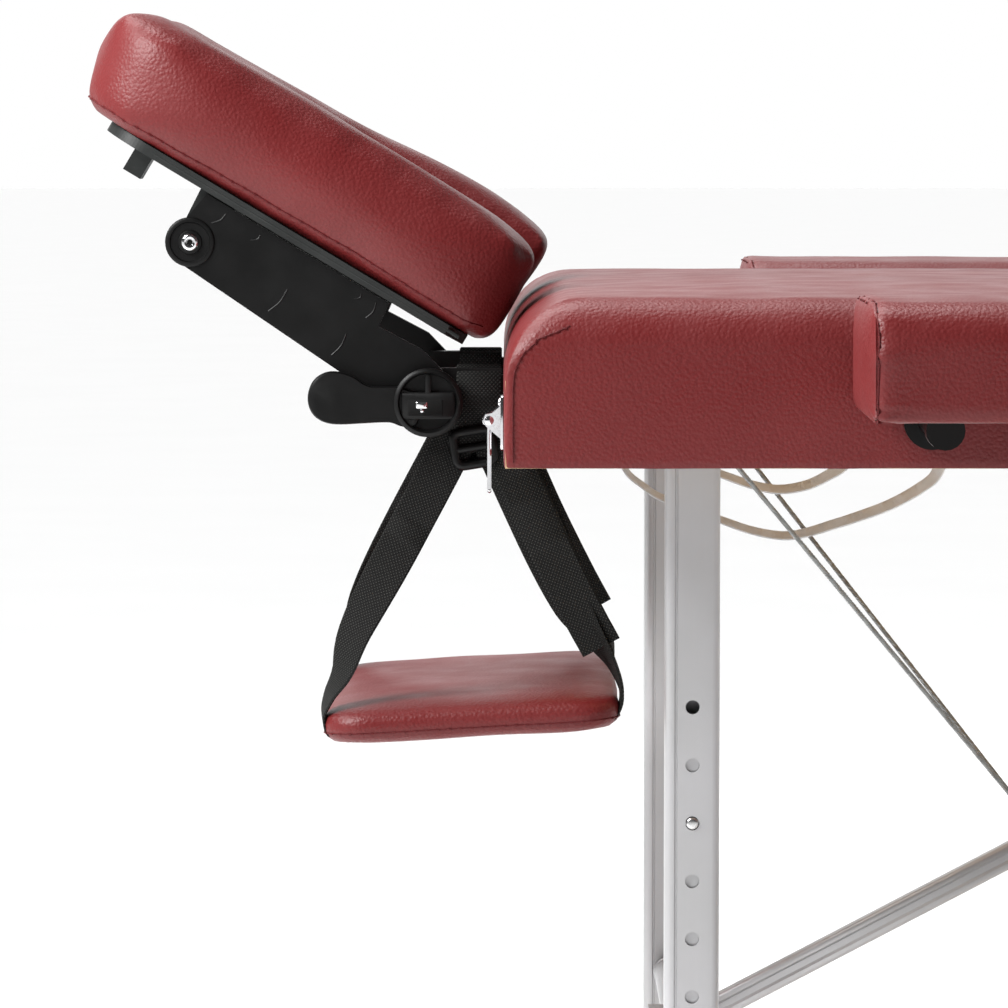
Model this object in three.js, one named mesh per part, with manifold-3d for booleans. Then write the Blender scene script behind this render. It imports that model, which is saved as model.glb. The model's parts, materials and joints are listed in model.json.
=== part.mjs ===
// A portable folding massage table: two padded halves on a centre hinge, four telescopic legs with
// central folding struts and bracing cables, a tilting face cradle, a forearm sling and two armrests.
// Millimetres, +Z up. Inside the model, u runs along the table from the head end face (u = 0) to the
// foot end face. The whole model is shifted so that its origin is the middle of its footprint.
import * as THREE from 'three';
import { mergeVertices } from 'three/addons/utils/BufferGeometryUtils.js';
import Module from 'manifold-3d';

const wasm = await Module();
wasm.setup();

// ---- Driving dimensions -------------------------------------------------------------------------
const HALF_LENGTH = 925;
const HALF_WIDTH = 300;
const TOP_Z = 700;
const BOTTOM_Z = 608;
const GAP = 0.3;
const DECK_TOP_Z = 656;
const DECK_THICKNESS = 6;
const RAIL_THICKNESS = 18;
const FRAME_INSET = 1;
const CUSHION_ROUND = 38;
const HINGE_RADIUS = 3.5;
const HINGE_PIN_RADIUS = 1.5;
const HINGE_LEAF = 1.3;
const FRAME_HINGE_END = HALF_LENGTH - 2;

const LEG_PIVOT_U = 107;
const LEG_PIVOT_Z = 628;
const AXLE_RADIUS = 4;
const LEG_LANE = { head: 205, foot: 247 };
const LEG_WIDTH = 31;
const LEG_DEPTH = 24;
const LEG_WALL = 2;
const LEG_FIT = 0.4;
const LEG_TOP = 14;
const OUTER_LEG_REACH = 430;
const INNER_LEG_START = 185;
const INNER_LEG_FLOOR_GAP = 12;
const HOLE_RADIUS = 4;
const HOLE_COUNT = 7;
const HOLE_PITCH = 33.1;
const FIRST_HOLE = 161;
const BUTTON_HOLE = 2;
const BUTTON_RADIUS = 3.5;
const BUTTON_PROUD = 1.5;

const CROSSBAR_DROP = 382;
const CROSSBAR_RADIUS = 9;
const STRUT_PIVOT_U = 657.7;
const KNUCKLE = { u: 330.2, z: 363.6 };
const STRUT_SECTION = 15;
const STRUT_LANE = [2.5, 14];
const CABLE_RADIUS = 1.5;
const CABLE_START_Y = 185;
const CABLE_APEX_SHORT = 14;
const CABLE_TOP_SHIFT = { near: 3.5, far: 14 };

const CRADLE_HUB = { u: -43.6, z: 635 };
const CRADLE_PIVOT = { u: -182, z: 727.6 };
const CRADLE_TILT = THREE.MathUtils.degToRad(31);
const PLATE_FOOT = { u: -24, z: 668 };
const PLATE_LENGTH = 242;
const PLATE_THICKNESS = 6;
const PLATE_HALF_WIDTH = 130;
const FACE_CUSHION_START = -12;
const FACE_CUSHION_END = 259;
const FACE_CUSHION_LEVELS = [7, 69];
const FACE_CUSHION_HALF_WIDTH = 140;
const FACE_HOLE_HALF_WIDTH = 46;
const FACE_HOLE_END = 148;
const BAR_LANE = [104, 116];
const BAR_LEVELS = [634, 650];
const BAR_END_U = 70;
const BAR_HEAD = { u: [-46, -1], z: [640, 654] };
const ARM_LANE = [117, 123];
const LEVER_LANE = [123.5, 139];

const STRAP_LANE = [108.3, 111.3];
const STRAP_WIDTH = 27;
const STRAP_RING = { u: [-27.7, -0.7], low: 594, thickness: 3 };
const STRAP_TOP = { u: -14.2, z: 600 };
const STRAP_LOW_U = [-88, 52];
const BUCKLE = { u: [-31, -4], z: [596, 620], rim: 4.5 };
const SHELF = { start: -105, end: 68, halfWidth: 140, thickness: 25, lowZ: 439, tilt: 0.087 };

const ARMREST_START = { near: 191, far: 166 };
const ARMREST_LENGTH = 585;
const ARMREST_Y = [306, 460];
const ARMREST_Z = [645, 703];
const ARMREST_RODS = [234, 708];
const ARMREST_STRIP_THICKNESS = 4;
const ARMREST_ROD_Z = 634;
const ARMREST_ROD_RADIUS = 7.5;
const ARMREST_ROD_Y = [268, 386];

const LATCH_Y = 200;
const LATCH_PIVOT = { u: -8, z: 629 };
const LATCH_PLATE = { u: [-1.7, -GAP], z: [612, 643] };

const LENGTH = 2 * HALF_LENGTH;
const HEAD_REACH = -243;
const FOOT_REACH = LENGTH + 5;
const CENTRE_U = (HEAD_REACH + FOOT_REACH) / 2;
const SIDES = [['near', -1], ['far', 1]];

// ---- Materials ----------------------------------------------------------------------------------
function finish(color, roughness, metalness) {
  return new THREE.MeshStandardMaterial({ color, roughness, metalness });
}

const leather = finish(0x87302f, 0.5, 0);
const wood = finish(0xc9a876, 0.6, 0);
const aluminium = finish(0xc3c2c6, 0.35, 0.9);
const steel = finish(0xb4b4b4, 0.3, 1);
const chrome = finish(0xdedede, 0.1, 1);
const plastic = finish(0x1a1a1b, 0.45, 0);
const webbing = finish(0x1c1c1b, 0.9, 0);
const elastic = finish(0xafa5a0, 0.9, 0);
const rubber = finish(0x202020, 0.8, 0);
const rope = finish(0x8f9493, 0.4, 0.9);

// ---- Shape helpers ------------------------------------------------------------------------------
function solid(geometry) {
  const plain = geometry.clone();
  plain.deleteAttribute('normal');
  plain.deleteAttribute('uv');
  const merged = mergeVertices(plain, 1e-4);
  const vertProperties = new Float32Array(merged.attributes.position.array);
  const triVerts = new Uint32Array(merged.index.array);
  return new wasm.Manifold(new wasm.Mesh({ numProp: 3, vertProperties, triVerts }));
}

function geometryOf(body) {
  const mesh = body.getMesh();
  const geometry = new THREE.BufferGeometry();
  geometry.setAttribute('position', new THREE.BufferAttribute(new Float32Array(mesh.vertProperties), 3));
  geometry.setIndex(new THREE.BufferAttribute(new Uint32Array(mesh.triVerts), 1));
  geometry.computeVertexNormals();
  return geometry;
}

function block(u, y, z) {
  const geometry = new THREE.BoxGeometry(u[1] - u[0], y[1] - y[0], z[1] - z[0]);
  geometry.translate((u[0] + u[1]) / 2, (y[0] + y[1]) / 2, (z[0] + z[1]) / 2);
  return geometry;
}

// A cylinder along Y, between two values of y.
function pin(centre, radius, y, segments = 20) {
  const geometry = new THREE.CylinderGeometry(radius, radius, y[1] - y[0], segments);
  geometry.translate(centre.u, (y[0] + y[1]) / 2, centre.z);
  return geometry;
}

// An outline in the (u, z) plane, extruded along Y.
function slab(shape, y) {
  const geometry = new THREE.ExtrudeGeometry(shape, {
    depth: y[1] - y[0],
    bevelEnabled: false,
    curveSegments: 8,
  });
  geometry.rotateX(Math.PI / 2);
  geometry.translate(0, y[1], 0);
  return geometry;
}

// Both values on the chosen side of the table, in rising order.
function onSide(side, range) {
  return side < 0 ? [-range[1], -range[0]] : [range[0], range[1]];
}

function join(...geometries) {
  return geometryOf(geometries.map(solid).reduce((a, b) => a.add(b)));
}

function cut(geometry, ...tools) {
  return geometryOf(tools.map(solid).reduce((a, b) => a.subtract(b), solid(geometry)));
}

// Mirrors a geometry about the table's centre hinge, keeping its faces pointing outwards.
function toFootEnd(geometry) {
  const body = solid(geometry).mirror([1, 0, 0]).translate([LENGTH, 0, 0]);
  return geometryOf(body);
}

const frame = new THREE.Group();
frame.position.x = -CENTRE_U;

function add(name, geometry, material) {
  const mesh = new THREE.Mesh(geometry, material);
  mesh.name = name;
  frame.add(mesh);
}

// Adds the head end's piece, and its mirror image at the foot end.
function addToEnd(end, name, geometry, material) {
  add(`${end}_${name}`, end === 'head' ? geometry : toFootEnd(geometry), material);
}

// ---- The two halves of the top ------------------------------------------------------------------
function cushionSlab() {
  const shape = new THREE.Shape();
  const low = DECK_TOP_Z + GAP;
  shape.moveTo(GAP, low);
  shape.lineTo(HALF_LENGTH - GAP, low);
  shape.lineTo(HALF_LENGTH - GAP, TOP_Z);
  shape.lineTo(CUSHION_ROUND + GAP, TOP_Z);
  shape.absarc(CUSHION_ROUND + GAP, TOP_Z - CUSHION_ROUND, CUSHION_ROUND, Math.PI / 2, Math.PI, false);
  return slab(shape, [-HALF_WIDTH, HALF_WIDTH]);
}

function strutLug() {
  const pivot = { u: STRUT_PIVOT_U, z: LEG_PIVOT_Z };
  const plates = SIDES.map(([, side]) =>
    block([pivot.u - 10, pivot.u + 10], onSide(side, [15, 19]), [LEG_PIVOT_Z - 12, DECK_TOP_Z - 3]));
  return join(...plates, pin(pivot, AXLE_RADIUS, [-17, 17]));
}

function halfFrame(end) {
  const outside = HALF_WIDTH - FRAME_INSET;
  const rail = RAIL_THICKNESS;
  const underside = DECK_TOP_Z - DECK_THICKNESS;
  const shell = block([FRAME_INSET, FRAME_HINGE_END], [-outside, outside], [BOTTOM_Z, DECK_TOP_Z]);
  const cavity = block(
    [FRAME_INSET + rail, FRAME_HINGE_END - rail],
    [rail - outside, outside - rail],
    [BOTTOM_Z - 1, underside],
  );
  const holes = [
    pin({ u: HALF_LENGTH, z: BOTTOM_Z }, HINGE_RADIUS + 0.7, [-outside - 1, outside + 1]),
    pin({ u: LEG_PIVOT_U, z: LEG_PIVOT_Z }, AXLE_RADIUS + GAP, [-outside - 1, outside + 1]),
  ];
  if (end === 'head') {
    for (const [, side] of SIDES) {
      const bore = [BAR_LANE[0] - GAP, BAR_LANE[1] + GAP];
      holes.push(block([-1, rail + 4], onSide(side, bore), [BAR_LEVELS[0] - GAP, BAR_LEVELS[1] + GAP]));
      for (const u of ARMREST_RODS) {
        const reach = onSide(side, [outside - rail - 2, outside + 2]);
        holes.push(pin({ u, z: ARMREST_ROD_Z }, ARMREST_ROD_RADIUS + 2.8, reach));
      }
    }
  }
  return join(cut(shell, cavity, ...holes), strutLug());
}

// Hinge knuckles alternate along the joint; the head leaf also carries the pin.
function hingeLeaf(end) {
  const half = 270;
  const count = 9;
  const step = (2 * half) / count;
  const leafEnd = HALF_LENGTH - 0.4;
  const axis = { u: HALF_LENGTH, z: BOTTOM_Z };
  const parts = [block([leafEnd - HINGE_LEAF, leafEnd], [-half, half], [BOTTOM_Z + 5, DECK_TOP_Z - 8])];
  const first = end === 'head' ? 0 : 1;
  for (let i = first; i < count; i += 2) {
    const y = [i * step - half + 0.5, (i + 1) * step - half - 0.5];
    parts.push(block([leafEnd - HINGE_LEAF, leafEnd], y, [BOTTOM_Z, BOTTOM_Z + 6]));
    parts.push(pin(axis, HINGE_RADIUS, y, 12));
  }
  if (end === 'head') {
    return join(...parts, pin(axis, HINGE_PIN_RADIUS, [1 - half, half - 1], 12));
  }
  return cut(join(...parts), pin(axis, HINGE_PIN_RADIUS + GAP, [-half - 1, half + 1], 12));
}

// ---- Legs, struts and cables --------------------------------------------------------------------
function holeDrop(index) {
  return FIRST_HOLE + index * HOLE_PITCH;
}

function sectionAt(lane, side, width, depth, z) {
  const y = side * lane;
  return block([LEG_PIVOT_U - width / 2, LEG_PIVOT_U + width / 2], [y - depth / 2, y + depth / 2], z);
}

function legTube(lane, side, width, depth, z) {
  const bore = sectionAt(lane, side, width - 2 * LEG_WALL, depth - 2 * LEG_WALL, [z[0] - 1, z[1] + 1]);
  return cut(sectionAt(lane, side, width, depth, z), bore);
}

function outwardHole(lane, side, drop) {
  const face = onSide(side, [lane + 2, lane + LEG_DEPTH]);
  return pin({ u: LEG_PIVOT_U, z: LEG_PIVOT_Z - drop }, HOLE_RADIUS, face, 16);
}

function outerLeg(lane, side) {
  const z = [LEG_PIVOT_Z - OUTER_LEG_REACH, LEG_PIVOT_Z + LEG_TOP];
  const tube = legTube(lane, side, LEG_WIDTH, LEG_DEPTH, z);
  const tools = [];
  for (let i = 0; i < HOLE_COUNT; i += 1) {
    tools.push(outwardHole(lane, side, holeDrop(i)));
  }
  const through = onSide(side, [lane - LEG_DEPTH, lane + LEG_DEPTH]);
  tools.push(pin({ u: LEG_PIVOT_U, z: LEG_PIVOT_Z }, AXLE_RADIUS + GAP, through));
  return cut(tube, ...tools);
}

const INNER_WIDTH = LEG_WIDTH - 2 * LEG_WALL - 2 * LEG_FIT;
const INNER_DEPTH = LEG_DEPTH - 2 * LEG_WALL - 2 * LEG_FIT;

function innerLeg(lane, side) {
  const z = [INNER_LEG_FLOOR_GAP, LEG_PIVOT_Z - INNER_LEG_START];
  const tube = legTube(lane, side, INNER_WIDTH, INNER_DEPTH, z);
  return cut(tube, outwardHole(lane, side, holeDrop(BUTTON_HOLE)));
}

function foot(lane, side) {
  const base = sectionAt(lane, side, LEG_WIDTH - 1, LEG_DEPTH - 1, [0, INNER_LEG_FLOOR_GAP - GAP]);
  const fit = 2 * LEG_WALL + 2 * GAP;
  const plug = sectionAt(lane, side, INNER_WIDTH - fit, INNER_DEPTH - fit, [5, INNER_LEG_FLOOR_GAP + 20]);
  return join(base, plug);
}

function legButton(lane, side) {
  const centre = { u: LEG_PIVOT_U, z: LEG_PIVOT_Z - holeDrop(BUTTON_HOLE) };
  const inside = lane + INNER_DEPTH / 2 - LEG_WALL - GAP;
  const proud = lane + LEG_DEPTH / 2 + BUTTON_PROUD;
  const stem = pin(centre, BUTTON_RADIUS, onSide(side, [inside - 1, proud]), 16);
  const flange = pin(centre, BUTTON_RADIUS + 2, onSide(side, [inside - 1.5, inside]), 16);
  return join(stem, flange);
}

// A flat bar between two pivots, with a round bored end at each.
function strutBar(from, to, ends, y) {
  const along = Math.atan2(to.z - from.z, to.u - from.u);
  const half = STRUT_SECTION / 2;
  const side = { u: -Math.sin(along) * half, z: Math.cos(along) * half };
  const shape = new THREE.Shape();
  shape.moveTo(from.u + side.u, from.z + side.z);
  shape.lineTo(from.u - side.u, from.z - side.z);
  shape.lineTo(to.u - side.u, to.z - side.z);
  shape.lineTo(to.u + side.u, to.z + side.z);
  const eyes = [pin(from, ends[0].outer, y), pin(to, ends[1].outer, y)];
  const span = [y[0] - 1, y[1] + 1];
  return cut(join(slab(shape, y), ...eyes), pin(from, ends[0].bore, span), pin(to, ends[1].bore, span));
}

// The cross tube, joggled beside the lower strut so that the folded upper strut passes through it.
function crossbar(centre, half) {
  const slot = [STRUT_LANE[0] - 0.7, STRUT_LANE[1] + 0.6];
  const back = centre.u - CROSSBAR_RADIUS * 2;
  const open = centre.u - STRUT_SECTION / 2 - GAP;
  const z = [centre.z - CROSSBAR_RADIUS, centre.z + CROSSBAR_RADIUS];
  const rod = cut(
    pin(centre, CROSSBAR_RADIUS, [-half, half], 24),
    block([open, centre.u + 12], slot, [z[0] - 1, z[1] + 1]),
  );
  const bridge = block([back, open], [slot[0] - 3, slot[1] + 5], z);
  const cheeks = [[slot[0] - 3, slot[0]], [slot[1], slot[1] + 5]].map((y) => block([back, centre.u], y, z));
  return join(rod, bridge, ...cheeks);
}

function cableLine() {
  const reach = Math.hypot(KNUCKLE.u - LEG_PIVOT_U, LEG_PIVOT_Z - KNUCKLE.z);
  const clear = (AXLE_RADIUS + CABLE_RADIUS + 1) / reach;
  const start = [
    LEG_PIVOT_U + (KNUCKLE.u - LEG_PIVOT_U) * clear,
    LEG_PIVOT_Z + (KNUCKLE.z - LEG_PIVOT_Z) * clear,
  ];
  const near = new THREE.Vector3(start[0] + CABLE_TOP_SHIFT.near, -CABLE_START_Y, start[1]);
  const far = new THREE.Vector3(start[0] + CABLE_TOP_SHIFT.far, CABLE_START_Y, start[1]);
  const short = 1 - CABLE_APEX_SHORT / reach;
  const apex = new THREE.Vector3(
    LEG_PIVOT_U + (KNUCKLE.u - LEG_PIVOT_U) * short,
    0,
    LEG_PIVOT_Z + (KNUCKLE.z - LEG_PIVOT_Z) * short,
  );
  return sharpV(near, apex, far);
}

// A V with a small round at its apex.
function sharpV(near, apex, far) {
  const turn = 0.03;
  const inward = new THREE.Vector3().lerpVectors(apex, near, turn);
  const outward = new THREE.Vector3().lerpVectors(apex, far, turn);
  const path = new THREE.CurvePath();
  path.add(new THREE.LineCurve3(near, inward));
  path.add(new THREE.QuadraticBezierCurve3(inward, apex, outward));
  path.add(new THREE.LineCurve3(outward, far));
  return path;
}

function roundSection(radius, sides) {
  const points = [];
  for (let i = 0; i < sides; i += 1) {
    const angle = (i / sides) * 2 * Math.PI;
    points.push(new THREE.Vector2(radius * Math.cos(angle), radius * Math.sin(angle)));
  }
  return new THREE.Shape(points);
}

function tube(path, radius, steps) {
  return new THREE.ExtrudeGeometry(roundSection(radius, 8), { extrudePath: path, steps, bevelEnabled: false });
}

// A flat elastic band hanging in an arc under the deck, with both ends fixed inside the frame.
function elasticBand(u, lowZ, y) {
  const thickness = 1.4;
  const high = DECK_TOP_Z - DECK_THICKNESS - GAP;
  const middle = (u[0] + u[1]) / 2;
  const dip = 2 * lowZ - high;
  const shape = new THREE.Shape();
  shape.moveTo(u[0], high);
  shape.quadraticCurveTo(middle, dip, u[1], high);
  shape.lineTo(u[1] - 2 * thickness, high);
  shape.quadraticCurveTo(middle, dip + 2 * thickness, u[0] + 2 * thickness, high);
  return slab(shape, y);
}

// ---- Latches ------------------------------------------------------------------------------------
function latchY(side, half) {
  return onSide(side, [LATCH_Y - half, LATCH_Y + half]);
}

function latchPlate(side) {
  const plate = block(LATCH_PLATE.u, latchY(side, 10), LATCH_PLATE.z);
  const ears = [-1, 1].map((edge) => {
    const centre = side * LATCH_Y + edge * 9;
    return block([LATCH_PIVOT.u - 4, -1], [centre - 1, centre + 1], [LATCH_PIVOT.z - 5, LATCH_PIVOT.z + 5]);
  });
  return join(plate, ...ears, pin(LATCH_PIVOT, 1.5, latchY(side, 9), 12));
}

function latchHook(side) {
  const eye = pin(LATCH_PIVOT, 4, latchY(side, 7.5), 16);
  const stem = block([LATCH_PIVOT.u - 1.5, LATCH_PIVOT.u + 1.5], latchY(side, 4), [587, 627]);
  const slot = block([LATCH_PIVOT.u - 3, LATCH_PIVOT.u + 3], latchY(side, 1.3), [590, 624]);
  return cut(join(eye, stem), slot, pin(LATCH_PIVOT, 1.9, latchY(side, 9), 12));
}

function latchCatch(side) {
  const plate = block(LATCH_PLATE.u, latchY(side, 10), LATCH_PLATE.z);
  const lip = block([-5, -1], latchY(side, 4), [615, 619]);
  return join(plate, lip);
}

// ---- Face cradle --------------------------------------------------------------------------------
// A point given along the tilted plate and above it.
function onPlate(along, above) {
  return {
    u: PLATE_FOOT.u - along * Math.cos(CRADLE_TILT) + above * Math.sin(CRADLE_TILT),
    z: PLATE_FOOT.z + along * Math.sin(CRADLE_TILT) + above * Math.cos(CRADLE_TILT),
  };
}

// A rounded rectangle open towards the table, extruded square to the plate.
function horseshoe(start, end, halfWidth, radius, levels) {
  const shape = new THREE.Shape();
  const throat = FACE_HOLE_HALF_WIDTH;
  const lip = radius * 0.4;
  shape.moveTo(start + lip, -halfWidth);
  shape.lineTo(end - radius, -halfWidth);
  shape.absarc(end - radius, radius - halfWidth, radius, -Math.PI / 2, 0, false);
  shape.absarc(end - radius, halfWidth - radius, radius, 0, Math.PI / 2, false);
  shape.lineTo(start + lip, halfWidth);
  shape.lineTo(start, halfWidth - lip);
  shape.lineTo(start, throat);
  shape.absarc(FACE_HOLE_END - throat, 0, throat, Math.PI / 2, -Math.PI / 2, true);
  shape.lineTo(start, -throat);
  shape.lineTo(start, lip - halfWidth);
  const geometry = new THREE.ExtrudeGeometry(shape, {
    depth: levels[1] - levels[0],
    bevelEnabled: false,
    curveSegments: 10,
  });
  geometry.translate(0, 0, levels[0]);
  geometry.scale(-1, -1, 1);
  geometry.rotateY(CRADLE_TILT);
  geometry.translate(PLATE_FOOT.u, 0, PLATE_FOOT.z);
  return geometry;
}

function onPlateOutline(points) {
  const shape = new THREE.Shape();
  points.forEach(([along, above], i) => {
    const p = onPlate(along, above);
    if (i === 0) {
      shape.moveTo(p.u, p.z);
    } else {
      shape.lineTo(p.u, p.z);
    }
  });
  return shape;
}

function cradlePlatform() {
  const plate = horseshoe(0, PLATE_LENGTH, PLATE_HALF_WIDTH, 30, [0, PLATE_THICKNESS]);
  const lugs = SIDES.map(([, side]) => {
    const y = onSide(side, [108, ARM_LANE[0] - GAP]);
    const tab = slab(onPlateOutline([[177, 1], [154, 1], [157, -41], [174, -41]]), y);
    const stub = pin(CRADLE_PIVOT, 4, onSide(side, [112, ARM_LANE[1] + 1]), 16);
    return join(tab, stub);
  });
  const peg = slab(onPlateOutline([[228, 1], [216, 1], [216, -19], [228, -19]]), [-12, 12]);
  return join(plate, ...lugs, peg);
}

function cradleArm(side) {
  const shape = new THREE.Shape();
  const gap = -1.2;
  const tail = onPlate(172, gap);
  const notch = onPlate(49, gap);
  const step = onPlate(47, -16);
  shape.moveTo(tail.u, tail.z);
  shape.lineTo(CRADLE_PIVOT.u - 14, CRADLE_PIVOT.z);
  shape.absarc(CRADLE_PIVOT.u, CRADLE_PIVOT.z, 14, Math.PI, Math.PI * 1.4, false);
  shape.lineTo(-92, 650);
  shape.lineTo(CRADLE_HUB.u - 8, CRADLE_HUB.z - 17);
  shape.absarc(CRADLE_HUB.u, CRADLE_HUB.z, 19, Math.PI * 1.36, Math.PI * 2.33, false);
  shape.lineTo(-47, 665);
  shape.lineTo(step.u, step.z);
  shape.lineTo(notch.u, notch.z);
  const y = onSide(side, ARM_LANE);
  const span = onSide(side, [ARM_LANE[0] - 2, ARM_LANE[1] + 2]);
  const hubBore = pin(CRADLE_HUB, AXLE_RADIUS + GAP, span, 16);
  return cut(slab(shape, y), hubBore, pin(CRADLE_PIVOT, 4 + GAP, span, 16));
}

function cradleBase() {
  const parts = [pin(CRADLE_HUB, 9, [1 - BAR_LANE[1], BAR_LANE[1] - 1])];
  for (const [, side] of SIDES) {
    parts.push(block([CRADLE_HUB.u, BAR_END_U], onSide(side, BAR_LANE), BAR_LEVELS));
    parts.push(block(BAR_HEAD.u, onSide(side, BAR_LANE), BAR_HEAD.z));
    parts.push(pin(CRADLE_HUB, 15, onSide(side, BAR_LANE)));
  }
  const bore = pin(CRADLE_HUB, AXLE_RADIUS + GAP, [-BAR_LANE[1] - 2, BAR_LANE[1] + 2], 16);
  return cut(join(...parts), bore);
}

function cradleAxle() {
  const rod = pin(CRADLE_HUB, AXLE_RADIUS, [-LEVER_LANE[1] + 4, 132], 16);
  return join(rod, pin(CRADLE_HUB, 8, [ARM_LANE[1] + GAP, 131], 6));
}

function camLever() {
  const y = onSide(-1, LEVER_LANE);
  const hub = pin(CRADLE_HUB, 20, y, 28);
  const neckY = onSide(-1, [LEVER_LANE[0] + 3, LEVER_LANE[1] - 2]);
  const paddle = pin({ u: -95, z: 636 }, 17, neckY, 24);
  const neck = block([-90, -50], neckY, [628, 645]);
  const slot = block([-54, -30], onSide(-1, [LEVER_LANE[1] - 6, LEVER_LANE[1] + 2]), [630, 640]);
  return cut(join(hub, paddle, neck), slot, pin(CRADLE_HUB, AXLE_RADIUS + GAP, [y[0] - 1, y[1] + 1], 16));
}

// ---- Forearm sling ------------------------------------------------------------------------------
function shelfTop(u) {
  return SHELF.lowZ + (u - SHELF.start) * SHELF.tilt + SHELF.thickness;
}

function shelfPad() {
  const shape = new THREE.Shape();
  shape.moveTo(SHELF.start, shelfTop(SHELF.start) - SHELF.thickness);
  shape.lineTo(SHELF.end, shelfTop(SHELF.end) - SHELF.thickness);
  shape.lineTo(SHELF.end, shelfTop(SHELF.end));
  shape.lineTo(SHELF.start, shelfTop(SHELF.start));
  return slab(shape, [-SHELF.halfWidth, SHELF.halfWidth]);
}

// One leg of the sling strap, from under the bar to the top of the shelf.
function strapLeg(topU, lowU, y) {
  const half = STRAP_WIDTH / 2;
  const shape = new THREE.Shape();
  shape.moveTo(topU - half, STRAP_TOP.z);
  shape.lineTo(lowU - half, shelfTop(lowU - half) + 0.5);
  shape.lineTo(lowU + half, shelfTop(lowU + half) + 0.5);
  shape.lineTo(topU + half, STRAP_TOP.z);
  return slab(shape, y);
}

function slingStrap(side) {
  const { u, low, thickness } = STRAP_RING;
  const high = BAR_HEAD.z[1] + 0.5;
  const barClear = [BAR_LANE[0] - GAP, BAR_LANE[1] + GAP];
  const ring = cut(
    block(u, onSide(side, [BAR_LANE[0] - thickness, BAR_LANE[1] + 0.7]), [low, high + thickness - 0.6]),
    block([u[0] - 1, u[1] + 1], onSide(side, barClear), [low + thickness, high]),
  );
  const lane = onSide(side, STRAP_LANE);
  return join(ring, ...STRAP_LOW_U.map((lowU) => strapLeg(STRAP_TOP.u, lowU, lane)));
}

function slingBuckle(side) {
  const y = onSide(side, [BAR_LANE[1] + 1.1, BAR_LANE[1] + 4.6]);
  const { u, z, rim } = BUCKLE;
  const opening = block([u[0] + rim, u[1] - rim], [y[0] - 1, y[1] + 1], [z[0] + rim, z[1] - rim]);
  return cut(block(u, y, z), opening);
}

// ---- Armrests -----------------------------------------------------------------------------------
function armrestPad(side) {
  const start = side < 0 ? ARMREST_START.near : ARMREST_START.far;
  const length = [start, start + ARMREST_LENGTH];
  const round = 24;
  const shape = new THREE.Shape();
  const [low, high] = ARMREST_Y.map((y) => side * y).sort((a, b) => a - b);
  shape.absarc(length[0] + round, low + round, round, Math.PI, Math.PI * 1.5, false);
  shape.absarc(length[1] - round, low + round, round, Math.PI * 1.5, Math.PI * 2, false);
  shape.absarc(length[1] - round, high - round, round, 0, Math.PI / 2, false);
  shape.absarc(length[0] + round, high - round, round, Math.PI / 2, Math.PI, false);
  const depth = ARMREST_Z[1] - ARMREST_Z[0];
  const geometry = new THREE.ExtrudeGeometry(shape, { depth, bevelEnabled: false, curveSegments: 6 });
  geometry.translate(0, 0, ARMREST_Z[0]);
  return geometry;
}

function armrestFrame(side) {
  const high = ARMREST_Z[0] - GAP;
  const strip = block(ARMREST_RODS, onSide(side, [338, 356]), [high - ARMREST_STRIP_THICKNESS, high]);
  const parts = [strip];
  for (const u of ARMREST_RODS) {
    const centre = { u, z: ARMREST_ROD_Z };
    parts.push(pin(centre, ARMREST_ROD_RADIUS, onSide(side, ARMREST_ROD_Y)));
    parts.push(pin(centre, ARMREST_ROD_RADIUS + 3, onSide(side, [ARMREST_ROD_Y[1] - 12, ARMREST_ROD_Y[1]])));
  }
  return join(...parts);
}

function armrestSocket(u, side) {
  const centre = { u, z: ARMREST_ROD_Z };
  const outside = HALF_WIDTH - FRAME_INSET;
  const flange = pin(centre, 15.5, onSide(side, [outside + 1.3, outside + 5]), 28);
  const sleeve = pin(centre, ARMREST_ROD_RADIUS + 2.5, onSide(side, [outside - RAIL_THICKNESS, outside + 4]));
  const bore = pin(centre, ARMREST_ROD_RADIUS + GAP, onSide(side, [outside - 30, outside + 10]));
  return cut(join(flange, sleeve), bore);
}

// ---- Assembly -----------------------------------------------------------------------------------
for (const end of ['head', 'foot']) {
  const lane = LEG_LANE[end];
  addToEnd(end, 'cushion', cushionSlab(), leather);
  addToEnd(end, 'frame', halfFrame(end), wood);
  addToEnd(end, 'hinge_leaf', hingeLeaf(end), steel);
  const axle = pin({ u: LEG_PIVOT_U, z: LEG_PIVOT_Z }, AXLE_RADIUS, [-297, 297], 16);
  addToEnd(end, 'leg_axle', axle, steel);
  addToEnd(end, 'cable', tube(cableLine(), CABLE_RADIUS, 24), rope);
  const barHalf = lane - LEG_DEPTH / 2 - GAP;
  const barCentre = { u: LEG_PIVOT_U, z: LEG_PIVOT_Z - CROSSBAR_DROP };
  addToEnd(end, 'crossbar', crossbar(barCentre, barHalf), aluminium);
  const low = { outer: 13, bore: CROSSBAR_RADIUS + GAP };
  const knuckle = { outer: 9, bore: 3 };
  const lowEnds = [low, knuckle];
  addToEnd(end, 'lower_strut', strutBar(barCentre, KNUCKLE, lowEnds, onSide(-1, STRUT_LANE)), aluminium);
  const high = { outer: 9, bore: AXLE_RADIUS + GAP };
  const strutTop = { u: STRUT_PIVOT_U, z: LEG_PIVOT_Z };
  addToEnd(end, 'upper_strut', strutBar(strutTop, KNUCKLE, [high, knuckle], STRUT_LANE), aluminium);
  for (const [word, side] of SIDES) {
    addToEnd(end, `outer_leg_${word}`, outerLeg(lane, side), aluminium);
    addToEnd(end, `inner_leg_${word}`, innerLeg(lane, side), aluminium);
    addToEnd(end, `foot_cap_${word}`, foot(lane, side), rubber);
    addToEnd(end, `leg_button_${word}`, legButton(lane, side), steel);
  }
}

add('band_long', elasticBand([66, 272], 545, [-34, -25]), elastic);
add('band_short', elasticBand([104, 216], 572, [-50, -41]), elastic);

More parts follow.
